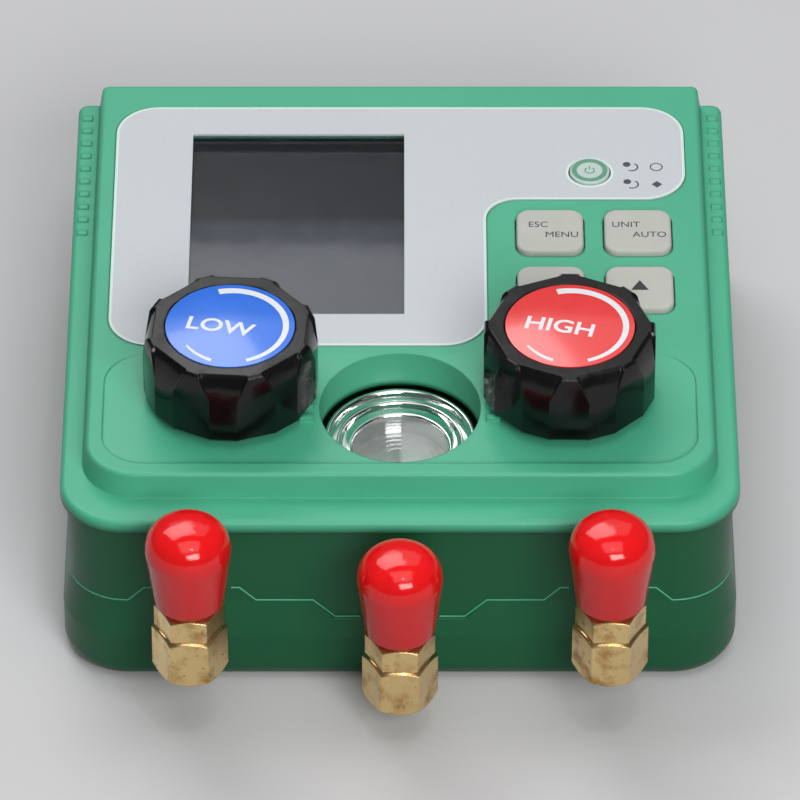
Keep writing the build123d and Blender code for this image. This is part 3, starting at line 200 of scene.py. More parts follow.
class Finish:
    """A procedural material while its nodes are being added."""

    def __init__(self, name):
        self.material = bpy.data.materials.new(name)
        self.material.use_nodes = True
        self.tree = self.material.node_tree
        self.tree.nodes.clear()
        self.place = Signal(self, self.node("ShaderNodeTexCoord").outputs["Object"])

    def node(self, kind, settings=None, sockets=None):
        """A node of a type, with its settings and then the values or links of its sockets."""
        made = self.tree.nodes.new(kind)
        for setting, value in (settings or {}).items():
            setattr(made, setting, value)
        for socket, value in (sockets or {}).items():
            self.feed(made.inputs[socket], value)
        return made

    def feed(self, socket, value):
        if isinstance(value, Signal):
            self.tree.links.new(value.socket, socket)
        elif socket.type == "RGBA":
            socket.default_value = (*value[:3], 1.0)
        else:
            socket.default_value = value

    def turned(self, turn=(0.0, 0.0, 0.0), scale=(1.0, 1.0, 1.0), centre=(0.0, 0.0, 0.0)):
        """The place, measured from a centre, then turned and stretched."""
        sockets = {"Vector": self.place, "Location": Vector(centre), "Rotation": turn}
        mapping = self.node("ShaderNodeMapping", {"vector_type": "TEXTURE"}, sockets)
        stretch = {0: Signal(self, mapping.outputs[0]), 1: scale}
        node = self.node("ShaderNodeVectorMath", {"operation": "MULTIPLY"}, stretch)
        return Signal(self, node.outputs[0])

    def parts(self, place=None):
        """X, Y and Z of a place, each as a signal."""
        node = self.node("ShaderNodeSeparateXYZ", None, {0: place or self.place})
        return tuple(Signal(self, output) for output in node.outputs)

    def noise(self, size, detail=2.0, place=None, roughness=0.5):
        """Soft random pattern with features of a size, in metres."""
        sockets = {"Vector": place or self.place, "Scale": 1 / size, "Detail": detail, "Roughness": roughness}
        node = self.node("ShaderNodeTexNoise", None, sockets)
        return Signal(self, node.outputs["Fac"])

    def cells(self, size, place=None):
        """Distance to the nearest of many random points, a size apart."""
        sockets = {"Vector": place or self.place, "Scale": 1 / size}
        node = self.node("ShaderNodeTexVoronoi", None, sockets)
        return Signal(self, node.outputs["Distance"])

    def scratches(self, angle, rarity, width=0.00012, length=0.012, height_angle=0.0):
        """Thin lines in one direction, as signal from 0 to 1."""
        place = self.turned((height_angle, 0.0, angle), (1 / length, 1 / width, 1 / width))
        sockets = {"Vector": place, "Scale": 1.0, "Detail": 1.0}
        node = self.node("ShaderNodeTexNoise", None, sockets)
        return Signal(self, node.outputs["Fac"]).between(rarity, rarity + 0.09)

    def blend(self, factor, first, second):
        """One colour where the factor is 0, another where it is 1."""
        sockets = {0: factor, 6: first, 7: second}
        node = self.node("ShaderNodeMix", {"data_type": "RGBA"}, sockets)
        return Signal(self, node.outputs[2])

    def relief(self, height, depth, strength=1.0, below=None):
        """Bump from a height signal, with its real depth in metres."""
        sockets = {"Height": height, "Distance": depth, "Strength": strength}
        if below is not None:
            sockets["Normal"] = below
        node = self.node("ShaderNodeBump", None, sockets)
        return Signal(self, node.outputs["Normal"])

    def soft_edges(self, radius):
        """Normal that rounds sharp edges a little, as moulding and handling do."""
        node = self.node("ShaderNodeBevel", {"samples": 4}, {"Radius": radius})
        return Signal(self, node.outputs["Normal"])

    def surface(self, colour, roughness, normal=None, metallic=0.0, **constants):
        """Ends the material in one shader and returns it."""
        sockets = {"Base Color": colour, "Roughness": roughness, "Metallic": metallic}
        if normal is not None:
            sockets["Normal"] = normal
        for name, value in constants.items():
            sockets[name.replace("_", " ")] = value
        shader = self.node("ShaderNodeBsdfPrincipled", None, sockets)
        out = self.node("ShaderNodeOutputMaterial")
        self.tree.links.new(shader.outputs[0], out.inputs["Surface"])
        return self.material


# Finishes


def moulded_shell(name, colour, ledge_height):
    """Satin moulded housing plastic with fine grain and handling marks, and painted shade that darkens the
    wall below the ledge.
    """
    finish = Finish(name)
    blotches = finish.noise(0.028, 3.0)
    mottling = finish.noise(0.0016, 2.0)
    grain = finish.noise(0.00022, 2.0)
    rubs = finish.scratches(0.5, 0.68) * finish.noise(0.02, 1.0).between(0.45, 0.65)
    marks = finish.scratches(-1.1, 0.70, 0.00009, 0.007) * finish.noise(0.03, 1.0).between(0.5, 0.68)
    wear = rubs.larger(marks)
    tone = finish.blend(blotches * 0.7 + mottling * 0.3, shade(colour, 0.90), shade(colour, 1.08))
    _, _, height = finish.parts()
    # Painted shade: below the ledge the colour turns to a darker copy, standing in for the shadow there
    wall = 1.0 - height.between(ledge_height - 2.6 * MM, ledge_height - 1.0 * MM)
    shaded_wall_colour = [channel * depth for channel, depth in zip(colour, WALL_PAINTED_SHADE)]
    deep = finish.blend(blotches, shade(shaded_wall_colour, 0.92), shade(shaded_wall_colour, 1.1))
    tone = finish.blend(wall, tone, deep)
    base = finish.blend(wear * 0.25, tone, shade(colour, 1.3))
    rough = 0.36 + (blotches - 0.5) * 0.14 + (grain - 0.5) * 0.10 + wear * 0.16
    normal = finish.relief(grain, 0.00003, 0.35, finish.soft_edges(0.0005))
    return finish.surface(base, rough, normal, IOR=1.4)


def printed_film(name, colour):
    """Matt label film: very fine dots of print, faint unevenness and a few rubbed places."""
    finish = Finish(name)
    clouds = finish.noise(0.035, 3.0)
    dots = finish.cells(0.00042)
    fibre = finish.noise(0.00025, 2.0)
    rubs = finish.scratches(0.3, 0.69, 0.0001, 0.01) * finish.noise(0.018, 1.0).between(0.48, 0.66)
    tone = finish.blend(clouds * 0.6 + dots * 0.5, shade(colour, 1.04), shade(colour, 0.93))
    base = finish.blend(rubs * 0.22, tone, shade(colour, 0.8))
    rough = 0.42 + (clouds - 0.5) * 0.12 + rubs * 0.12
    normal = finish.relief(fibre * 0.6 + dots * 0.4, 0.00002, 0.4)
    return finish.surface(base, rough, normal, IOR=1.48)


def clear_pane(name, tint, ior):
    """Clear polished pane with faint smudges in its gloss."""
    finish = Finish(name)
    smudges = finish.noise(0.006, 4.0, roughness=0.6).between(0.45, 0.8)
    hairs = finish.scratches(0.9, 0.70, 0.00005, 0.009)
    normal = finish.relief(finish.noise(0.012, 2.0), 0.00002, 0.3)
    base = finish.blend(smudges * 0.3, tint, shade(tint, 0.94))
    rough = 0.02 + smudges * 0.05 + hairs * 0.08
    return finish.surface(base, rough, normal, IOR=ior, Transmission_Weight=1.0)


def frosted_glass(name, tint, centre):
    """Sight glass with a bright lapped face and painted reflection: one half darker and the brightness
    changing round its middle, as light falls on a turned disc.
    """
    finish = Finish(name)
    across, along, _ = finish.parts(finish.turned(centre=centre))
    # Painted reflection: brightness by angle round the middle and a darker half stand in for the surroundings
    # the disc reflects
    painted_sheen = (along.angle(across) * 2.0 + 0.9).sine() * 0.5 + 0.5
    half = across.between(-0.0004, 0.0006)
    rings = ((across * across + along * along) ** 0.5 * (2 * pi / 0.0012)).sine()
    smudges = finish.noise(0.004, 4.0, roughness=0.6).between(0.45, 0.8)
    tone = finish.blend(half * 0.55 + painted_sheen * 0.35, shade(tint, 0.42), tint)
    base = finish.blend(smudges * 0.3, tone, shade(tint, 0.7))
    rough = 0.10 + smudges * 0.12
    normal = finish.relief(rings, 0.00002, 0.4)
    return finish.surface(base, rough, normal, IOR=1.52, Transmission_Weight=0.25, Coat_Weight=0.6)


def display_glass(name, colour, centre, size):
    """Switched-off display: grey field with the faint grid of its elements, and a painted dark band at its
    top that stands in for the part of the glass reflecting no lamp.
    """
    finish = Finish(name)
    across, along, _ = finish.parts(finish.turned(centre=centre))
    # Painted reflection: the top band is darkened, as where the glass mirrors no lamp
    painted_dark_top = (along / size[1] + 0.5).between(0.52, 0.60)
    columns = (across * (2 * pi / 0.0009)).sine().between(0.75, 1.0)
    rows = (along * (2 * pi / 0.0009)).sine().between(0.75, 1.0)
    grid = columns.larger(rows)
    mura = finish.noise(0.02, 3.0)
    field = finish.blend(mura, shade(colour, 0.94), shade(colour, 1.06))
    base = finish.blend(painted_dark_top, field, shade(colour, 0.35))
    base = finish.blend(grid * 0.10, base, shade(colour, 0.5))
    rough = 0.12 + mura * 0.10
    normal = finish.relief(finish.noise(0.0004, 2.0), 0.00001, 0.2)
    return finish.surface(base, rough, normal, IOR=1.5)


def silicone(name, colour, grain_size=0.00018, rough=0.55):
    """Matt silicone: fine grain, slight mottling and dust caught on it."""
    finish = Finish(name)
    mottling = finish.noise(0.004, 3.0)
    grain = finish.noise(grain_size, 2.0)
    lint = finish.scratches(2.1, 0.71, 0.00005, 0.0016).larger(finish.scratches(0.7, 0.72, 0.00005, 0.002))
    tone = finish.blend(mottling, shade(colour, 0.92), shade(colour, 1.07))
    base = finish.blend(lint * 0.35, tone, shade(colour, 1.35))
    roughness = rough + (mottling - 0.5) * 0.12 + (grain - 0.5) * 0.1
    normal = finish.relief(grain, 0.00002, 0.5, finish.soft_edges(0.0003))
    return finish.surface(base, roughness, normal, IOR=1.42)


def polished_black(name, colour):
    """Glossy moulded knob plastic: deep black with fine wipe marks, dust and slightly wavy gloss."""
    finish = Finish(name)
    smudges = finish.noise(0.007, 4.0, roughness=0.6).between(0.42, 0.75)
    wipes = finish.scratches(0.2, 0.66, 0.00008, 0.006).larger(finish.scratches(1.7, 0.67, 0.00008, 0.005))
    dust = finish.cells(0.0011).between(0.10, 0.03) * finish.noise(0.006, 1.0).between(0.5, 0.7)
    tone = finish.blend(smudges, colour, shade(colour, 1.8))
    base = finish.blend(dust * 0.25, tone, screen(120, 118, 114))
    rough = 0.13 + smudges * 0.16 + wipes * 0.10 + dust * 0.2
    ripple = finish.relief(finish.noise(0.005, 2.0), 0.00006, 0.3, finish.soft_edges(0.0004))
    return finish.surface(base, rough, ripple, IOR=1.38)


def glossy_disc(name, colour):
    """Gloss print under a clear dome: even colour with a slight depth change and fine scratches."""
    finish = Finish(name)
    depth = finish.noise(0.006, 3.0)
    speckle = finish.noise(0.0003, 2.0)
    hairs = finish.scratches(0.4, 0.68, 0.00006, 0.005).larger(finish.scratches(-0.8, 0.70, 0.00006, 0.004))
    tone = finish.blend(depth * 0.8 + speckle * 0.2, shade(colour, 0.86), shade(colour, 1.12))
    base = finish.blend(hairs * 0.2, tone, shade(colour, 1.6))
    rough = 0.14 + depth * 0.10 + hairs * 0.15
    normal = finish.relief(finish.noise(0.003, 2.0), 0.00003, 0.3)
    return finish.surface(base, rough, normal, IOR=1.5, Coat_Weight=0.5, Coat_Roughness=0.08)


def ink(name, colour):
    """Screen-printed ink with a slightly uneven edge and pinholes."""
    finish = Finish(name)
    cover = finish.noise(0.0005, 3.0)
    holes = finish.cells(0.0007).between(0.12, 0.04)
    base = finish.blend(cover, shade(colour, 0.9), shade(colour, 1.08))
    base = finish.blend(holes * 0.25, base, shade(colour, 0.65))
    rough = 0.38 + cover * 0.15
    return finish.surface(base, rough, finish.relief(cover, 0.00001, 0.5), IOR=1.5)


def dipped_rubber(name, colour):
    """Glossy dip-moulded cap rubber: orange-peel skin, soft folds, dust and paler rubbed places."""
    finish = Finish(name)
    folds = finish.noise(0.007, 2.0)
    peel = finish.noise(0.0011, 2.0)
    pores = finish.cells(0.0009).between(0.14, 0.04)
    rubs = finish.noise(0.004, 4.0, roughness=0.65).between(0.58, 0.78)
    tone = finish.blend(folds * 0.7 + peel * 0.3, shade(colour, 0.86), shade(colour, 1.12))
    base = finish.blend(rubs * 0.16, tone, screen(255, 96, 92))
    base = finish.blend(pores * 0.2, base, shade(colour, 0.55))
    rough = 0.11 + (folds - 0.5) * 0.06 + rubs * 0.16 + pores * 0.1
    skin = finish.relief(folds, 0.0006, 0.35)
    normal = finish.relief(peel - pores * 0.3, 0.00006, 0.45, skin)
    return finish.surface(base, rough, normal, IOR=1.5, Subsurface_Weight=0.55, Subsurface_Scale=0.004,
                          Subsurface_Radius=(1.0, 0.12, 0.12))


def turned_brass(name, colour, thread=None):
    """Turned brass: fine tool lines round the upright axis, tarnish patches and bright rubbed spots."""
    finish = Finish(name)
    _, _, height = finish.parts()
    wobble = finish.noise(0.004, 2.0) * 2.0
    lines = (height * (2 * pi / 0.00035) + wobble).sine()
    fine = finish.noise(0.0002, 2.0)
    tarnish = finish.noise(0.0045, 5.0, roughness=0.62).between(0.46, 0.74)
    spots = finish.noise(0.0012, 3.0).between(0.60, 0.75)
    tone = finish.blend(tarnish, colour, screen(166, 124, 66))
    base = finish.blend(spots * 0.45, tone, screen(112, 80, 44))
    rough = 0.17 + tarnish * 0.20 + spots * 0.15 + fine * 0.06
    below = finish.soft_edges(0.00035)
    if thread is not None:
        turns = (height * (2 * pi / THREAD_PITCH)).sine()
        cut = (height > thread[0]) * (height < thread[1])
        below = finish.relief(turns * cut, 0.25 * MM, 1.0, below)
    normal = finish.relief(lines * 0.35 + fine, 0.00001, 0.5, below)
    return finish.surface(base, rough, normal, metallic=1.0)


def plated_ring(name, colour, rough_low):
    """Polished plating: faint concentric polish lines, smears and tiny pits."""
    finish = Finish(name)
    smears = finish.noise(0.005, 4.0, roughness=0.6).between(0.42, 0.78)
    pits = finish.cells(0.0008).between(0.09, 0.03)
    fine = finish.noise(0.00025, 2.0)
    base = finish.blend(smears * 0.5, colour, shade(colour, 0.78))
    base = finish.blend(pits * 0.6, base, shade(colour, 0.35))
    rough = rough_low + smears * 0.14 + pits * 0.2 + fine * 0.03
    return finish.surface(base, rough, finish.relief(fine - pits, 0.00001, 0.4), metallic=1.0)


def brushed_steel(name, colour):
    """Zinc-plated steel: fine brushing, dull patches and a few dark specks."""
    finish = Finish(name)
    stretched = finish.turned(scale=(9000.0, 260.0, 9000.0))
    brushed = finish.node("ShaderNodeTexNoise", None, {"Vector": stretched, "Scale": 1.0, "Detail": 2.0})
    brush = Signal(finish, brushed.outputs["Fac"])
    patches = finish.noise(0.006, 4.0, roughness=0.6).between(0.4, 0.75)
    specks = finish.noise(0.0008, 3.0).between(0.66, 0.8)
    tone = finish.blend(patches * 0.6, colour, shade(colour, 0.72))
    base = finish.blend(specks * 0.5, tone, shade(colour, 0.4))
    rough = 0.24 + brush * 0.16 + patches * 0.12
    normal = finish.relief(brush, 0.00001, 0.5, finish.soft_edges(0.0002))
    return finish.surface(base, rough, normal, metallic=1.0)


def machined_metal(name, colour):
    """Milled block metal: cutter arcs on its faces, fine scratches and slight oxide."""
    finish = Finish(name)
    across, along, _ = finish.parts()
    reach = (across * across + (along + 0.09) * (along + 0.09)) ** 0.5
    arcs = (reach * (2 * pi / 0.0007)).sine()
    oxide = finish.noise(0.008, 4.0, roughness=0.6).between(0.4, 0.75)
    marks = finish.scratches(0.8, 0.67, 0.00008, 0.01)
    tone = finish.blend(oxide * 0.5 + marks * 0.3, colour, shade(colour, 0.74))
    rough = 0.26 + oxide * 0.16 + (arcs + 1.0) * 0.04
    return finish.surface(tone, rough, finish.relief(arcs, 0.000006, 0.5), metallic=1.0)


def solder_mask(name, colour):
    """Circuit board: tracks under green mask, with pads and a fibre weave."""
    finish = Finish(name)
    across, along, _ = finish.parts()
    grid = finish.cells(0.004)
    tracks = (grid * (2 * pi / 0.22)).sine().between(0.55, 0.8)
    pads = finish.cells(0.0035).between(0.17, 0.13)
    weave = (across * (2 * pi / 0.0007)).sine() * (along * (2 * pi / 0.0007)).sine()
    base = finish.blend(tracks * 0.5, colour, shade(colour, 2.0))
    base = finish.blend(pads * 0.8, base, screen(190, 180, 150))
    rough = 0.30 + (weave + 1.0) * 0.06
    return finish.surface(base, rough, finish.relief(tracks + pads + weave * 0.2, 0.00003, 0.5), IOR=1.5)


def moulded_part(name, colour, rough):
    """Plain moulded plastic or rubber inside the housing: grain, flow marks and dust."""
    finish = Finish(name)
    flow = finish.noise(0.006, 3.0)
    grain = finish.noise(0.0003, 2.0)
    base = finish.blend(flow * 0.7 + grain * 0.3, shade(colour, 0.85), shade(colour, 1.2))
    roughness = rough + (flow - 0.5) * 0.14 + (grain - 0.5) * 0.08
    return finish.surface(base, roughness, finish.relief(grain, 0.00002, 0.5), IOR=1.48)


def cell_jacket(name, colour, centre_x):
    """Printed cell jacket: coloured half, black half, a pale band and scuffs."""
    finish = Finish(name)
    across, _, _ = finish.parts(finish.turned(centre=(centre_x, 0.0, 0.0)))
    along = abs(across)
    dark = along.between(0.0262, 0.0266)
    band = dark * (1.0 - along.between(0.0272, 0.0276))
    scuffs = finish.noise(0.003, 4.0, roughness=0.65).between(0.6, 0.75)
    base = finish.blend(dark, colour, screen(28, 28, 30))
    base = finish.blend(band, base, screen(225, 222, 215))
    base = finish.blend(scuffs * 0.4, base, screen(150, 146, 140))
    rough = 0.25 + scuffs * 0.3
    return finish.surface(base, rough, finish.relief(scuffs, 0.00001, 0.4), IOR=1.5)


# Mesh helpers


def piece(name, shape, material, body, slot, *nodes):
    """A finished piece from a bmesh, riding on a body and standing for nodes."""
    mesh = bpy.data.meshes.new(name)
    shape.to_mesh(mesh)
    shape.free()
    return from_mesh(name, mesh, material, body, slot, *nodes)


def from_mesh(name, mesh, material, body, slot, *nodes):
    """A finished piece from a mesh, riding on a body and standing for nodes."""
    made = bpy.data.objects.new(name, mesh)
    bpy.context.scene.collection.objects.link(made)
    mesh.materials.clear()
    mesh.materials.append(material)
    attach(made, body)
    if nodes:
        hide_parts(*nodes)
    return made


def smooth_by_angle(shape, limit):
    """Smooth shading everywhere but across edges sharper than the limit."""
    for face in shape.faces:
        face.smooth = True
    for edge in shape.edges:
        edge.smooth = len(edge.link_faces) < 2 or edge.calc_face_angle(0.0) < limit


def wear(node, material):
    """Gives a solid that keeps its shape its finish."""
    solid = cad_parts[node]
    solid.data.materials.clear()
    solid.data.materials.append(material)


def wear_all(material, *nodes):
    """Gives several solids the same finish."""
    for node in nodes:
        wear(node, material)


def lathe(profile, centre, steps=72):
    """Turned shape from (radius, height) points in millimetres, about an upright axis through centre."""
    shape = bmesh.new()
    verts = [shape.verts.new((centre.x + radius * MM, centre.y, height * MM)) for radius, height in profile]
    for index in range(len(verts) - 1):
        shape.edges.new((verts[index], verts[index + 1]))
    bmesh.ops.spin(shape, geom=shape.verts[:] + shape.edges[:], cent=(centre.x, centre.y, 0.0),
                   axis=(0, 0, 1), angle=2 * pi, steps=steps, use_merge=True)
    bmesh.ops.remove_doubles(shape, verts=shape.verts, dist=1e-6)
    bmesh.ops.recalc_face_normals(shape, faces=shape.faces)
    smooth_by_angle(shape, radians(32))
    return shape


def lettering(words, height, thickness, place, turn=0.0, stretch=1.0, bold=0.0):
    """Mesh of a line of lettering that faces up, centred on a place."""
    text = bpy.data.curves.new("lettering", "FONT")
    text.body = words
    text.size = height
    text.align_x = "CENTER"
    text.align_y = "CENTER"
    text.extrude = thickness / 2
    text.offset = bold
    text.resolution_u = 4
    holder = bpy.data.objects.new("lettering", text)
    bpy.context.scene.collection.objects.link(holder)
    seen = holder.evaluated_get(bpy.context.evaluated_depsgraph_get())
    mesh = bpy.data.meshes.new_from_object(seen)
    bpy.data.objects.remove(holder)
    mesh.transform(Matrix.Diagonal((stretch, 1.0, 1.0, 1.0)))
    mesh.transform(Matrix.Translation(Vector(place)) @ Matrix.Rotation(turn, 4, "Z"))
    return mesh


def raise_faces(shape, faces, height):
    """Gives flat faces a thickness upwards."""
    raised = bmesh.ops.extrude_face_region(shape, geom=faces)
    risen = [item for item in raised["geom"] if isinstance(item, bmesh.types.BMVert)]
    bmesh.ops.translate(shape, verts=risen, vec=(0.0, 0.0, height))


def dice(mesh, spacing):
    """Cuts flat print across and along at a spacing, so that it can follow a dome."""
    shape = bmesh.new()
    shape.from_mesh(mesh)
    for way in (Vector((1.0, 0.0, 0.0)), Vector((0.0, 1.0, 0.0))):
        places = [vert.co.dot(way) for vert in shape.verts]
        for cut in range(1, int((max(places) - min(places)) / spacing) + 1):
            everything = shape.verts[:] + shape.edges[:] + shape.faces[:]
            place = way * (min(places) + cut * spacing)
            bmesh.ops.bisect_plane(shape, geom=everything, dist=1e-7, plane_co=place, plane_no=way)
    shape.to_mesh(mesh)
    shape.free()


def flat_arc(shape, centre, inner, outer, start, end, low, high, steps=40):
    """Curved bar on a level plane, whose inner and outer radii change from its start to its end."""
    section = bmesh.ops.create_grid(shape, x_segments=1, y_segments=1, size=0.5)["verts"]
    width = outer[0] - inner[0]
    setting = Matrix(((cos(start), 0.0, -sin(start), centre.x), (sin(start), 0.0, cos(start), centre.y),
                      (0.0, 1.0, 0.0, 0.0), (0.0, 0.0, 0.0, 1.0)))
    for vert in section:
        vert.co = Vector((inner[0] + width * (vert.co.x + 0.5), low + (high - low) * (vert.co.y + 0.5), 0.0))
    bmesh.ops.transform(shape, matrix=setting, verts=section)
    before = set(shape.verts) - set(section)
    bmesh.ops.spin(shape, geom=section[0].link_faces[:], cent=(centre.x, centre.y, 0.0), axis=(0, 0, 1),
                   angle=end - start, steps=steps)
    way = 1.0 if end > start else -1.0
    for vert in set(shape.verts) - before:
        across = vert.co.x - centre.x
        along = vert.co.y - centre.y
        turned = (way * (atan2(along, across) - start) + 0.01) % (2 * pi) - 0.01
        share = min(1.0, max(0.0, turned / abs(end - start)))
        reach = hypot(across, along)
        part = (reach - inner[0]) / width
        inner_here = inner[0] + (inner[1] - inner[0]) * share
        outer_here = outer[0] + (outer[1] - outer[0]) * share
        wanted = (1 - part) * inner_here + part * outer_here
        vert.co.x = centre.x + across * wanted / reach
        vert.co.y = centre.y + along * wanted / reach
    if abs(end - start) > 2 * pi - 1e-6:
        bmesh.ops.remove_doubles(shape, verts=list(set(shape.verts) - before), dist=1e-6)
        walls = [face for face in shape.faces if all(len(edge.link_faces) > 2 for edge in face.edges)]
        bmesh.ops.delete(shape, geom=walls, context="FACES_ONLY")


def bead(shape, run, radius):
    """Round bead along a run of (place, outward direction) pairs."""
    places = [place for place, _ in run]
    settings = []
    for index, (place, outward) in enumerate(run):
        along = (places[min(index + 1, len(places) - 1)] - places[max(index - 1, 0)]).normalized()
        turn = Matrix((along.cross(outward), outward, -along)).transposed()
        settings.append(Matrix.Translation(place) @ turn.to_4x4())
    start = bmesh.ops.create_circle(shape, cap_ends=True, segments=8, radius=radius, matrix=settings[0])
    edges = list({edge for vert in start["verts"] for edge in vert.link_edges})
    for setting, following in zip(settings, settings[1:]):
        grown = bmesh.ops.extrude_edge_only(shape, edges=edges)["geom"]
        ring = {item for item in grown if isinstance(item, bmesh.types.BMVert)}
        bmesh.ops.transform(shape, matrix=following @ setting.inverted(), verts=list(ring))
        edges = [item for item in grown
                 if isinstance(item, bmesh.types.BMEdge) and ring.issuperset(item.verts)]
    bmesh.ops.contextual_create(shape, geom=edges)


# Sizes and colours that a user may change


class HousingLook(bpy.types.PropertyGroup):
    """Look of the housing and its label."""

    shell: FloatVectorProperty(name="Shell", description="Colour of the moulded shell", subtype="COLOR",
                               size=3, min=0.0, max=1.0, default=screen(80, 182, 145))
    label: FloatVectorProperty(name="Label", description="Colour of the face label", subtype="COLOR",
                               size=3, min=0.0, max=1.0, default=screen(207, 212, 217))
    seam_width: FloatProperty(name="Seam width", description="Width of the bead along the parting line",
                              subtype="DISTANCE", unit="LENGTH", default=0.35 * MM, min=0.1 * MM, max=MM)


class DisplayLook(bpy.types.PropertyGroup):
    """Look of the display and the keys."""

    field: FloatVectorProperty(name="Display", description="Colour of the switched-off display",
                               subtype="COLOR", size=3, min=0.0, max=1.0, default=screen(78, 84, 97))
    keys: FloatVectorProperty(name="Keys", description="Colour of the square keys", subtype="COLOR",
                              size=3, min=0.0, max=1.0, default=screen(194, 195, 187))
    menu_words: StringProperty(name="Menu key", description="Words on the first key", default="ESC MENU")
    unit_words: StringProperty(name="Unit key", description="Words on the second key", default="UNIT AUTO")


class ValveLook(bpy.types.PropertyGroup):
    """Look of the valves and their knobs."""

    knob: FloatVectorProperty(name="Knob", description="Colour of the knobs", subtype="COLOR",
                              size=3, min=0.0, max=1.0, default=screen(14, 14, 15))
    low_side: FloatVectorProperty(name="Low side", description="Colour of the low-side insert",
                                  subtype="COLOR", size=3, min=0.0, max=1.0, default=screen(56, 124, 240))
    high_side: FloatVectorProperty(name="High side", description="Colour of the high-side insert",
                                   subtype="COLOR", size=3, min=0.0, max=1.0, default=screen(248, 66, 66))
    letter_height: FloatProperty(name="Letter height", description="Height of the letters on the inserts",
                                 subtype="DISTANCE", unit="LENGTH", default=4.9 * MM, min=2 * MM, max=8 * MM)


class PortLook(bpy.types.PropertyGroup):
    """Look of the ports and their caps."""

    cap: FloatVectorProperty(name="Cap", description="Colour of the port caps", subtype="COLOR",
                             size=3, min=0.0, max=1.0, default=screen(250, 24, 28))
    brass: FloatVectorProperty(name="Brass", description="Colour of the fittings", subtype="COLOR",
                               size=3, min=0.0, max=1.0, default=screen(226, 196, 138))


class StageLook(bpy.types.PropertyGroup):
    """Floor, lamps and camera."""

    floor: FloatVectorProperty(name="Floor", description="Colour of the floor", subtype="COLOR",
                               size=3, min=0.0, max=1.0, default=(0.66, 0.66, 0.67))
    key_power: FloatProperty(name="Key lamp", description="Power of the main lamp", unit="POWER",
                             default=4.9, min=0.0, max=100.0)
    room_light: FloatProperty(name="Room light", description="Brightness of the light all round",
                              default=0.10, min=0.0, max=2.0)


# Operators, one for each piece or group of like pieces


class GAUGE_OT_shell(bpy.types.Operator):
    """Finish the front and rear housing and their screws"""

    bl_idname = "gauge.shell"
    bl_label = "Housing"

    def execute(self, context):
        look = context.scene.gauge_housing
        shell = moulded_shell("shell_plastic", look.shell, LEDGE_HEIGHT)
        wear_all(shell, "front_housing", "rear_housing", "battery_door")
        wear("housing_screws", brushed_steel("screw_steel", screen(176, 176, 180)))
        self.run_seam(moulded_part("seam_plastic", shade(look.shell, 0.9), 0.35), look.seam_width / 2)
        return {"FINISHED"}

    def run_seam(self, plastic, radius):
        """Bead along the parting line, which steps up or down past each port stub."""
        rear_low, rear_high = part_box("rear_housing")
        front_y = rear_low.y + WALL_INSET
        back_y = rear_high.y - WALL_INSET
        side_x = rear_high.x - WALL_INSET
        ports = sorted((middle(f"{port}_port_cap").x, port) for port in PORTS)

        def height(x):
            """Height of the parting line at a place along the front."""
            for port_x, port in ports:
                rise = PORT_HEIGHTS[port] - PARTING_HEIGHT
                beyond = abs(x - port_x) - STEP_HALF[port]
                if beyond < abs(rise):
                    return PORT_HEIGHTS[port] - max(0.0, beyond) * (1 if rise > 0 else -1)
            return PARTING_HEIGHT

        def along_front(start, end):
            """Part of the line on the front wall, with its bends."""
            bends = {start, end}
            for port_x, port in ports:
                half = STEP_HALF[port]
                ramp = abs(PORT_HEIGHTS[port] - PARTING_HEIGHT)
                bends.update(port_x + side * reach for side in (-1, 1) for reach in (half, half + ramp))
            inside = sorted(x for x in bends if start <= x <= end)
            return [(Vector((x, front_y, height(x))), Vector((0.0, -1.0, 0.0))) for x in inside]

        def corner(centre_x, centre_y, bend, first):
            """Quarter turn round a corner of the housing."""
            turns = [first + step * pi / 2 / CORNER_STEPS for step in range(CORNER_STEPS + 1)]
            outward = [Vector((cos(turn), sin(turn), 0.0)) for turn in turns]
            centre = Vector((centre_x, centre_y, PARTING_HEIGHT))
            return [(centre + out * bend, out) for out in outward]

        left, centre, right = (port_x for port_x, _ in ports)
        front_in = side_x - FRONT_CORNER
        back_in = side_x - BACK_CORNER
        around = along_front(right + STUB_ROOM, front_in)[:-1]
        around += corner(front_in, front_y + FRONT_CORNER, FRONT_CORNER, -pi / 2)
        around += corner(back_in, back_y - BACK_CORNER, BACK_CORNER, 0.0)
        around += corner(-back_in, back_y - BACK_CORNER, BACK_CORNER, pi / 2)
        around += corner(-front_in, front_y + FRONT_CORNER, FRONT_CORNER, pi)
        around += along_front(-front_in, left - STUB_ROOM)[1:]
        shape = bmesh.new()
        for run in (around, along_front(left + STUB_ROOM, centre - STUB_ROOM),
                    along_front(centre + STUB_ROOM, right - STUB_ROOM)):
            bead(shape, run, radius)
        bmesh.ops.recalc_face_normals(shape, faces=shape.faces)
        smooth_by_angle(shape, radians(50))
        piece("housing_seam", shape, plastic, "housing", "green_plastic")


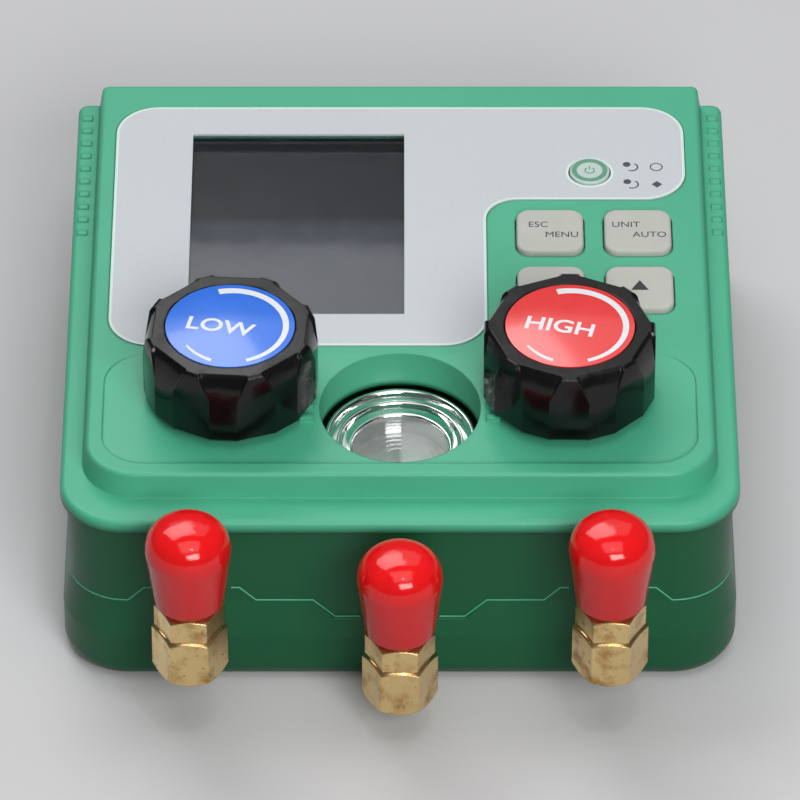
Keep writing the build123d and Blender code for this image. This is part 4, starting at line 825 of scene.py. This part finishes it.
class GAUGE_OT_label(bpy.types.Operator):
    """Finish the face label, paint a highlight along its edge and print its small signs"""

    bl_idname = "gauge.label"
    bl_label = "Face label"

    def execute(self, context):
        look = context.scene.gauge_housing
        wear("face_label", printed_film("label_film", look.label))
        # Painted highlight along the label's edge, laid as a pale strip
        self.paint_edge_highlight(ink("label_edge_highlight", screen(222, 240, 233)))
        self.print_signs(ink("sign_ink", screen(64, 74, 82)))
        return {"FINISHED"}

    def paint_edge_highlight(self, pale):
        """Painted highlight: a pale line along the outer edge of the label, where its raised rim catches the
        light.
        """
        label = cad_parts["face_label"]
        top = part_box("face_label")[1].z
        low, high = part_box("display_window")
        shape = bmesh.new()
        shape.from_mesh(label.data)
        shape.transform(label.matrix_world)
        bmesh.ops.remove_doubles(shape, verts=shape.verts, dist=1e-6)
        others = [face for face in shape.faces if face.calc_center_median().z < top - 0.01 * MM]
        bmesh.ops.delete(shape, geom=others, context="FACES")
        field = shape.faces[:]
        bmesh.ops.inset_region(shape, faces=field, thickness=EDGE_HIGHLIGHT_WIDTH, use_boundary=True,
                               use_even_offset=True)
        bmesh.ops.delete(shape, geom=field, context="FACES")
        room = 2 * MM
        near_window = []
        for face in shape.faces:
            place = face.calc_center_median()
            if low.x - room < place.x < high.x + room and low.y - room < place.y < high.y + room:
                near_window.append(face)
        bmesh.ops.delete(shape, geom=near_window, context="FACES")
        raise_faces(shape, shape.faces[:], EDGE_HIGHLIGHT_RISE)
        bmesh.ops.recalc_face_normals(shape, faces=shape.faces)
        piece("label_edge_highlight_strip", shape, pale, "housing", "label_film")

    def print_signs(self, dark):
        """Four small signs beside the power key: two hooks with dots, a ring and a diamond."""
        key = middle("power_key")
        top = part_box("face_label")[1].z
        signs = bmesh.new()
        near, far = key.x + 8.0 * MM, key.x + 12.7 * MM
        upper, lower = key.y + 1.7 * MM, key.y - 3.6 * MM
        for x, y in ((near, upper), (near, lower)):
            middle_place = Vector((x, y, 0.0))
            flat_arc(signs, middle_place, (1.0 * MM,) * 2, (1.3 * MM,) * 2, radians(-120), radians(60),
                     top, top + SIGN_PRINT, 14)
            self.dot(signs, Matrix.Translation((x - 0.9 * MM, y + 0.8 * MM, top)), 0.75 * MM, 16)
        flat_arc(signs, Vector((far, upper, 0.0)), (1.0 * MM,) * 2, (1.25 * MM,) * 2, 0.0, 2 * pi,
                 top, top + SIGN_PRINT, 28)
        self.dot(signs, Matrix.Translation((far, lower, top)), 1.0 * MM, 4)
        bmesh.ops.recalc_face_normals(signs, faces=signs.faces)
        piece("face_signs", signs, dark, "housing", "black_plastic")

    def dot(self, shape, place, radius, segments):
        """Flat dot or, with four segments, a diamond."""
        disc = bmesh.ops.create_circle(shape, cap_ends=True, segments=segments, radius=radius, matrix=place)
        faces = list({face for vert in disc["verts"] for face in vert.link_faces})
        raise_faces(shape, faces, SIGN_PRINT)


class GAUGE_OT_display(bpy.types.Operator):
    """Finish the display window, the display and its frame"""

    bl_idname = "gauge.display"
    bl_label = "Display"

    def execute(self, context):
        look = context.scene.gauge_display
        low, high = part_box("lcd_panel")
        wear("lcd_panel", display_glass("display_field", look.field, middle("lcd_panel"), high - low))
        wear("display_window", clear_pane("window_acrylic", (0.98, 0.99, 0.99), 1.49))
        wear("lcd_frame", moulded_part("display_frame", screen(224, 224, 220), 0.5))
        return {"FINISHED"}


class GAUGE_OT_keys(bpy.types.Operator):
    """Finish the five keys and print their signs"""

    bl_idname = "gauge.keys"
    bl_label = "Keys"

    def execute(self, context):
        look = context.scene.gauge_display
        rubber = silicone("key_silicone", look.keys)
        wear_all(rubber, *[f"{key}_key" for key in KEYS], "keypad_mat")
        wear("power_key", silicone("power_key_plastic", screen(196, 212, 207), 0.0003, 0.35))
        print_ink = ink("key_ink", screen(38, 41, 44))
        self.ring_power_key(ink("power_ring_ink", screen(96, 158, 132)))
        for key, words in (("menu", look.menu_words), ("unit", look.unit_words)):
            corner = middle(f"{key}_key")
            corner.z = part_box(f"{key}_key")[1].z
            for index, word in enumerate(words.split()):
                side = 2 * index - 1
                place = corner + Vector((side * 2.2 * MM, -side * 1.5 * MM, 0.0))
                mesh = lettering(word, 2.3 * MM, KEY_PRINT, place)
                from_mesh(f"{key}_key_word_{index + 1}", mesh, print_ink, f"{key}_key", "black_plastic")
        self.print_arrow("up", 0.0, print_ink)
        self.print_arrow("down", pi, print_ink)
        return {"FINISHED"}

    def print_arrow(self, key, turn, print_ink):
        """Triangle on a square key, turned from pointing up."""
        place = middle(f"{key}_key")
        place.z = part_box(f"{key}_key")[1].z
        arrow = bmesh.new()
        bmesh.ops.create_circle(arrow, cap_ends=True, segments=3, radius=1.9 * MM)
        raise_faces(arrow, arrow.faces[:], KEY_PRINT)
        bmesh.ops.rotate(arrow, verts=arrow.verts, cent=(0, 0, 0), matrix=Matrix.Rotation(turn, 3, "Z"))
        bmesh.ops.translate(arrow, verts=arrow.verts, vec=place)
        bmesh.ops.recalc_face_normals(arrow, faces=arrow.faces)
        piece(f"{key}_key_arrow", arrow, print_ink, f"{key}_key", "black_plastic")

    def ring_power_key(self, green):
        """Green ring and power sign on the round key."""
        low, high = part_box("power_key")
        centre = (low + high) / 2
        reach = self.top_reach("power_key")
        top = high.z
        sign = bmesh.new()
        flat_arc(sign, centre, (reach - 1.05 * MM,) * 2, (reach - 0.1 * MM,) * 2, 0.0, 2 * pi,
                 top, top + KEY_PRINT, 64)
        bmesh.ops.recalc_face_normals(sign, faces=sign.faces)
        piece("power_key_ring", sign, green, "power_key", "green_plastic")
        mark = bmesh.new()
        flat_arc(mark, centre, (0.75 * MM,) * 2, (1.0 * MM,) * 2, radians(125), radians(415),
                 top, top + POWER_PRINT)
        bar = Matrix.Translation((centre.x, centre.y + 0.75 * MM, top + POWER_PRINT / 2))
        bar = bar @ Matrix.Diagonal((0.24 * MM, 1.0 * MM, POWER_PRINT, 1.0))
        bmesh.ops.create_cube(mark, size=1.0, matrix=bar)
        bmesh.ops.recalc_face_normals(mark, faces=mark.faces)
        piece("power_key_sign", mark, green, "power_key", "green_plastic")

    def top_reach(self, node):
        """Radius of the flat top of a round solid."""
        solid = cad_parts[node]
        centre = middle(node)
        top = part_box(node)[1].z
        places = [solid.matrix_world @ vert.co for vert in solid.data.vertices]
        flat = [place for place in places if place.z > top - 0.01 * MM]
        return max(hypot(place.x - centre.x, place.y - centre.y) for place in flat)


class GAUGE_OT_valves(bpy.types.Operator):
    """Finish the valves, their knobs and the inserts with their lettering"""

    bl_idname = "gauge.valves"
    bl_label = "Valves and knobs"

    def execute(self, context):
        look = context.scene.gauge_valves
        black = polished_black("knob_plastic", look.knob)
        white = ink("insert_ink", screen(238, 242, 246))
        brass = turned_brass("valve_brass", screen(214, 180, 118))
        rubber = moulded_part("valve_rubber", screen(46, 46, 47), 0.55)
        steel = brushed_steel("valve_steel", screen(170, 170, 176))
        discs = {"low": glossy_disc("low_disc", look.low_side),
                 "high": glossy_disc("high_disc", look.high_side)}
        for side, words in (("low", "LOW"), ("high", "HIGH")):
            self.shape_knob(side, black)
            wear(f"{side}_knob_insert", discs[side])
            wear_all(brass, f"{side}_piston", f"{side}_stem", f"{side}_bonnet")
            wear_all(rubber, f"{side}_seat_disc", f"{side}_stem_o_ring")
            wear_all(steel, f"{side}_knob_screw", f"{side}_pressure_sensor")
            self.print_insert(side, words, look.letter_height, white)
        return {"FINISHED"}

    def shape_knob(self, side, black):
        """Eight-sided knob with flattened corners and a sloping scoop at the top of each corner."""
        node = f"{side}_knob"
        low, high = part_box(node)
        centre = (low + high) / 2
        insert_low, insert_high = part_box(f"{side}_knob_insert")
        span = 2 * pi / KNOB_SIDES

        def side_ring(height, inset, risen):
            """One ring of the outside; risen is 0 where a scoop starts and 1 at the top."""
            floor = KNOB_CORNER_FLAT - min(inset, 0.4 * MM) - SCOOP_DEPTH * risen
            half_floor = CORNER_HALF + (SCOOP_HALF - CORNER_HALF) * risen
            half_flank = half_floor + SCOOP_WALL * (0.1 + risen)
            flank = (KNOB_FLAT - inset - half_flank * sin(span / 2)) / cos(span / 2)
            edges = ((floor, 0.0), (floor, half_floor), (flank, half_flank))
            first = [(hypot(out, aside), atan2(aside, out)) for out, aside in edges]
            last = [(radius, span - angle) for radius, angle in reversed(first[1:])]
            middle_of_side = [((KNOB_FLAT - inset), span / 2)]
            return [(radius, KNOB_FIRST_CORNER[side] + corner * span + angle, height)
                    for corner in range(KNOB_SIDES) for radius, angle in first + middle_of_side + last]

        outside = [
            side_ring(low.z, 0.5 * MM, 0.0),
            side_ring(low.z + 0.5 * MM, 0.0, 0.0),
            side_ring(high.z - SCOOP_HEIGHT, 0.0, 0.0),
            side_ring(high.z - 0.9 * MM, 0.0, 1.0 - 0.9 * MM / SCOOP_HEIGHT),
            side_ring(high.z - 0.3 * MM, 0.25 * MM, 1.0 - 0.3 * MM / SCOOP_HEIGHT),
            side_ring(high.z, 0.8 * MM, 1.0),
        ]
        angles = [angle for _, angle, _ in outside[-1]]
        recess = (insert_high.x - insert_low.x) / 2 + 0.2 * MM
        head = 3.6 * MM
        stem = 4.0 * MM
        hub = 7.0 * MM
        skirt = 12.8 * MM
        stem_top = insert_low.z - 3.4 * MM
        hollow_top = low.z + 5.5 * MM
        inside = ((recess + 0.15 * MM, high.z), (recess, high.z - 0.15 * MM), (recess, insert_low.z),
                  (head, insert_low.z), (head, stem_top), (stem, stem_top), (stem, low.z),
                  (hub, low.z), (hub, hollow_top), (skirt, hollow_top), (skirt, low.z))
        rings = outside + [[(radius, angle, height) for angle in angles] for radius, height in inside]
        shape = bmesh.new()
        loops = [[shape.verts.new((centre.x + radius * cos(angle), centre.y + radius * sin(angle), height))
                  for radius, angle, height in ring] for ring in rings]
        for ring, following in zip(loops, loops[1:] + loops[:1]):
            for index in range(len(ring)):
                after = (index + 1) % len(ring)
                shape.faces.new((ring[index], ring[after], following[after], following[index]))
        bmesh.ops.recalc_face_normals(shape, faces=shape.faces)
        smooth_by_angle(shape, radians(24))
        piece(f"{side}_valve_handle", shape, black, f"{side}_valve_knob", "knob_black", node)

    def print_insert(self, side, words, letter_height, white):
        """Lettering and turning arrow on a domed insert."""
        low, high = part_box(f"{side}_knob_insert")
        centre = (low + high) / 2
        reach = (high.x - low.x) / 2
        dome = 0.7 * MM
        ball = (reach ** 2 + dome ** 2) / (2 * dome)
        thickness = 0.05 * MM

        def drape(verts):
            """Lifts flat print onto the dome."""
            for vert in verts:
                away = hypot(vert.co.x - centre.x, vert.co.y - centre.y)
                vert.co.z += high.z - ball + sqrt(ball ** 2 - away ** 2) - 0.01 * MM

        place = Vector((centre.x - 1.9 * MM, centre.y - 1.0 * MM, 0.0))
        mesh = lettering(words, letter_height, thickness, place, radians(-13), 1.10, 0.09 * MM)
        dice(mesh, 0.8 * MM)
        drape(mesh.vertices)
        body = f"{side}_valve_knob"
        from_mesh(f"{side}_insert_words", mesh, white, body, "white_plastic")
        arcs = bmesh.new()
        flat_arc(arcs, centre, (8.9 * MM, 10.2 * MM), (10.6 * MM, 10.9 * MM), radians(103), radians(-73),
                 -thickness / 2, thickness / 2)
        flat_arc(arcs, centre, (9.6 * MM, 10.2 * MM), (10.0 * MM, 10.9 * MM), radians(-143), radians(-108),
                 -thickness / 2, thickness / 2, 12)
        drape(arcs.verts)
        bmesh.ops.recalc_face_normals(arcs, faces=arcs.faces)
        piece(f"{side}_insert_arrow", arcs, white, body, "white_plastic")


class GAUGE_OT_sight_glass(bpy.types.Operator):
    """Finish the sight glass, its ring, seal and reflector"""

    bl_idname = "gauge.sight_glass"
    bl_label = "Sight glass"

    def execute(self, context):
        chrome = plated_ring("ring_chrome", screen(240, 240, 240), 0.07)
        self.turn_ring(chrome)
        self.turn_reflector(plated_ring("reflector_plating", screen(244, 244, 244), 0.22))
        wear("sight_glass", frosted_glass("sight_glass_pane", screen(236, 240, 238), middle("sight_glass")))
        wear("sight_glass_seal", moulded_part("sight_seal_rubber", screen(40, 40, 41), 0.6))
        return {"FINISHED"}

    def turn_ring(self, chrome):
        """Polished ring with three rounded lips that step down to the glass."""
        low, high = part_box("sight_glass_ring")
        centre = (low + high) / 2
        top = high.z / MM
        bottom = low.z / MM
        reach = (high.x - low.x) / 2 / MM
        opening = 8.6
        thread = 11.0
        flange = top - 4.0

        def lip(radius, height, size, start, end, steps=8):
            """Rounded lip, as points on an arc in the cross-section."""
            angles = [radians(start + (end - start) * step / steps) for step in range(steps + 1)]
            return [(radius + size * cos(angle), height + size * sin(angle)) for angle in angles]

        profile = [(opening, bottom), (thread, bottom), (thread, flange), (reach, flange)]
        profile += lip(reach - 0.75, top - 0.75, 0.75, 0, 165)
        profile += [(reach - 1.7, top - 1.15), (reach - 2.1, top - 1.2)]
        profile += lip(reach - 2.75, top - 1.75, 0.55, 60, 170)
        profile += [(reach - 3.6, top - 2.15), (reach - 3.9, top - 2.2)]
        profile += lip(opening + 0.75, top - 2.85, 0.6, 70, 180)
        shape = lathe(profile + [profile[0]], centre, 128)
        piece("sight_glass_bezel", shape, chrome, "housing", "chrome", "sight_glass_ring")

    def turn_reflector(self, plating):
        """Dished reflector under the glass, with a bright top plate and an eye in its middle."""
        low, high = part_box("sight_glass_reflector")
        centre = (low + high) / 2
        top = high.z / MM
        bottom = low.z / MM
        reach = (high.x - low.x) / 2 / MM
        profile = [(2.2, bottom), (6.3, bottom), (reach, top - 0.8), (reach, top), (reach - 0.6, top + 0.55),
                   (5.6, top + 0.5), (5.2, top + 0.3), (2.6, top + 0.3), (2.2, top + 0.1), (2.2, bottom)]
        piece("sight_glass_mirror", lathe(profile, centre, 96), plating, "housing", "chrome",
              "sight_glass_reflector")


class GAUGE_OT_ports(bpy.types.Operator):
    """Finish the ports and their rubber caps"""

    bl_idname = "gauge.ports"
    bl_label = "Ports and caps"

    def execute(self, context):
        look = context.scene.gauge_ports
        brass = turned_brass("port_brass", look.brass)
        rubber = dipped_rubber("cap_rubber", look.cap)
        for port in PORTS:
            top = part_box(f"{port}_flare_fitting")[1].z
            thread = (top - FLARE_NOSE - FLARE_THREAD, top - FLARE_NOSE)
            wear(f"{port}_port_elbow", brass)
            wear(f"{port}_flare_fitting", turned_brass(f"{port}_flare_brass", look.brass, thread))
            wear(f"{port}_port_cap", rubber)
        return {"FINISHED"}


class GAUGE_OT_manifold(bpy.types.Operator):
    """Finish the manifold block, its plugs and its screws"""

    bl_idname = "gauge.manifold"
    bl_label = "Manifold block"

    def execute(self, context):
        wear("manifold_block", machined_metal("block_metal", screen(198, 200, 204)))
        wear("gallery_plugs", turned_brass("plug_brass", screen(214, 180, 118)))
        wear("block_screws", brushed_steel("block_screw_steel", screen(172, 172, 176)))
        return {"FINISHED"}


class GAUGE_OT_electronics(bpy.types.Operator):
    """Finish the circuit board, its parts, the switches and the leads"""

    bl_idname = "gauge.electronics"
    bl_label = "Electronics"

    def execute(self, context):
        wear("circuit_board", solder_mask("board_mask", screen(24, 92, 52)))
        wear_all(moulded_part("chip_plastic", screen(38, 38, 40), 0.45), "board_parts", "key_switches")
        wear("board_screws", brushed_steel("board_screw_steel", screen(180, 180, 184)))
        wear("sensor_leads", moulded_part("lead_jacket", screen(44, 44, 46), 0.5))
        return {"FINISHED"}


class GAUGE_OT_battery_bay(bpy.types.Operator):
    """Finish the cells, springs and contact plates"""

    bl_idname = "gauge.battery_bay"
    bl_label = "Battery bay"

    def execute(self, context):
        wear("battery_cells", cell_jacket("cell_jacket", screen(214, 132, 44), middle("battery_cells").x))
        spring_steel = brushed_steel("spring_steel", screen(186, 186, 190))
        wear_all(spring_steel, "battery_springs", "battery_contacts")
        return {"FINISHED"}


class GAUGE_OT_hook(bpy.types.Operator):
    """Finish the hanging hook and its pin"""

    bl_idname = "gauge.hook"
    bl_label = "Hanging hook"

    def execute(self, context):
        wear_all(brushed_steel("hook_steel", screen(184, 184, 188)), "hanging_hook", "hook_pin")
        return {"FINISHED"}


class GAUGE_OT_stage(bpy.types.Operator):
    """Lay the floor, hang the lamps and place the camera"""

    bl_idname = "gauge.stage"
    bl_label = "Stage"

    def execute(self, context):
        look = context.scene.gauge_stage
        self.lay_floor(look.floor)
        self.light_room(context, look.room_light)
        self.hang_lamp("key_lamp", (-0.30, 0.62, 1.05), look.key_power, 0.80, 0.60)
        for lamp in LAMPS:
            self.hang_lamp(*lamp)
        camera_data = bpy.data.cameras.new("camera")
        camera_data.lens = CAMERA_LENS
        camera_data.sensor_width = 36.0
        camera_data.clip_start = 0.05
        camera_data.clip_end = 50.0
        camera = bpy.data.objects.new("camera", camera_data)
        camera.location = CAMERA_PLACE
        camera.rotation_euler = (CAMERA_PITCH, 0.0, 0.0)
        context.scene.collection.objects.link(camera)
        context.scene.camera = camera
        context.scene.view_settings.view_transform = "Standard"
        return {"FINISHED"}

    def lay_floor(self, colour):
        """Pale paper floor that throws little of its own light back at the object."""
        finish = Finish("floor_paper")
        fibres = finish.noise(0.0016, 3.0)
        clouds = finish.noise(0.35, 2.0)
        base = finish.blend(fibres * 0.5 + clouds * 0.5, shade(colour, 0.985), shade(colour, 1.015))
        rays = finish.node("ShaderNodeLightPath").outputs
        seen = Signal(finish, rays["Is Camera Ray"]).larger(Signal(finish, rays["Is Glossy Ray"]))
        seen = seen.larger(Signal(finish, rays["Is Transmission Ray"]))
        base = finish.blend(seen, shade(colour, 0.16), base)
        paper = finish.surface(base, 0.85, finish.relief(fibres, 0.00005, 0.2), IOR=1.3)
        shape = bmesh.new()
        bmesh.ops.create_circle(shape, cap_ends=True, segments=64, radius=14.0)
        mesh = bpy.data.meshes.new("floor")
        shape.to_mesh(mesh)
        shape.free()
        floor = bpy.data.objects.new("floor", mesh)
        mesh.materials.append(paper)
        bpy.context.scene.collection.objects.link(floor)

    def light_room(self, context, level):
        """Even faint light from all round."""
        world = bpy.data.worlds.new("room")
        world.use_nodes = True
        background = world.node_tree.nodes["Background"]
        background.inputs["Color"].default_value = (0.95, 0.97, 1.0, 1.0)
        background.inputs["Strength"].default_value = level
        context.scene.world = world

    def hang_lamp(self, name, place, power, width, depth):
        """Soft rectangular lamp aimed at the middle of the object."""
        lamp_data = bpy.data.lights.new(name, "AREA")
        lamp_data.shape = "RECTANGLE"
        lamp_data.size = width
        lamp_data.size_y = depth
        lamp_data.energy = power
        lamp = bpy.data.objects.new(name, lamp_data)
        lamp.location = place
        aim = Vector((0.0, 0.0, 0.03)) - Vector(place)
        lamp.rotation_euler = aim.to_track_quat("-Z", "Y").to_euler()
        bpy.context.scene.collection.objects.link(lamp)


class GAUGE_PT_build(bpy.types.Panel):
    """Steps that build the gauge, and the looks they use"""

    bl_label = "Refrigerant gauge"
    bl_idname = "GAUGE_PT_build"
    bl_space_type = "VIEW_3D"
    bl_region_type = "UI"
    bl_category = "Gauge"

    def draw(self, context):
        for holder in LOOKS:
            look = getattr(context.scene, holder)
            box = self.layout.box()
            for name in look.__annotations__:
                box.prop(look, name)
        for step in STEPS:
            self.layout.operator(step.bl_idname)


LOOKS = {
    "gauge_housing": HousingLook,
    "gauge_display": DisplayLook,
    "gauge_valves": ValveLook,
    "gauge_ports": PortLook,
    "gauge_stage": StageLook,
}
STEPS = (
    GAUGE_OT_stage,
    GAUGE_OT_shell,
    GAUGE_OT_label,
    GAUGE_OT_display,
    GAUGE_OT_keys,
    GAUGE_OT_valves,
    GAUGE_OT_sight_glass,
    GAUGE_OT_ports,
    GAUGE_OT_manifold,
    GAUGE_OT_electronics,
    GAUGE_OT_battery_bay,
    GAUGE_OT_hook,
)


def register():
    for holder, look in LOOKS.items():
        bpy.utils.register_class(look)
        setattr(bpy.types.Scene, holder, PointerProperty(type=look))
    for step in STEPS:
        bpy.utils.register_class(step)
    bpy.utils.register_class(GAUGE_PT_build)


def unregister():
    bpy.utils.unregister_class(GAUGE_PT_build)
    for step in reversed(STEPS):
        bpy.utils.unregister_class(step)
    for holder, look in LOOKS.items():
        delattr(bpy.types.Scene, holder)
        bpy.utils.unregister_class(look)


def main():
    """Builds the whole look."""
    register()
    bpy.ops.gauge.stage()
    bpy.ops.gauge.shell()
    bpy.ops.gauge.label()
    bpy.ops.gauge.display()
    bpy.ops.gauge.keys()
    bpy.ops.gauge.valves()
    bpy.ops.gauge.sight_glass()
    bpy.ops.gauge.ports()
    bpy.ops.gauge.manifold()
    bpy.ops.gauge.electronics()
    bpy.ops.gauge.battery_bay()
    bpy.ops.gauge.hook()
    bpy.context.view_layer.update()


if __name__ == "__main__":
    main()
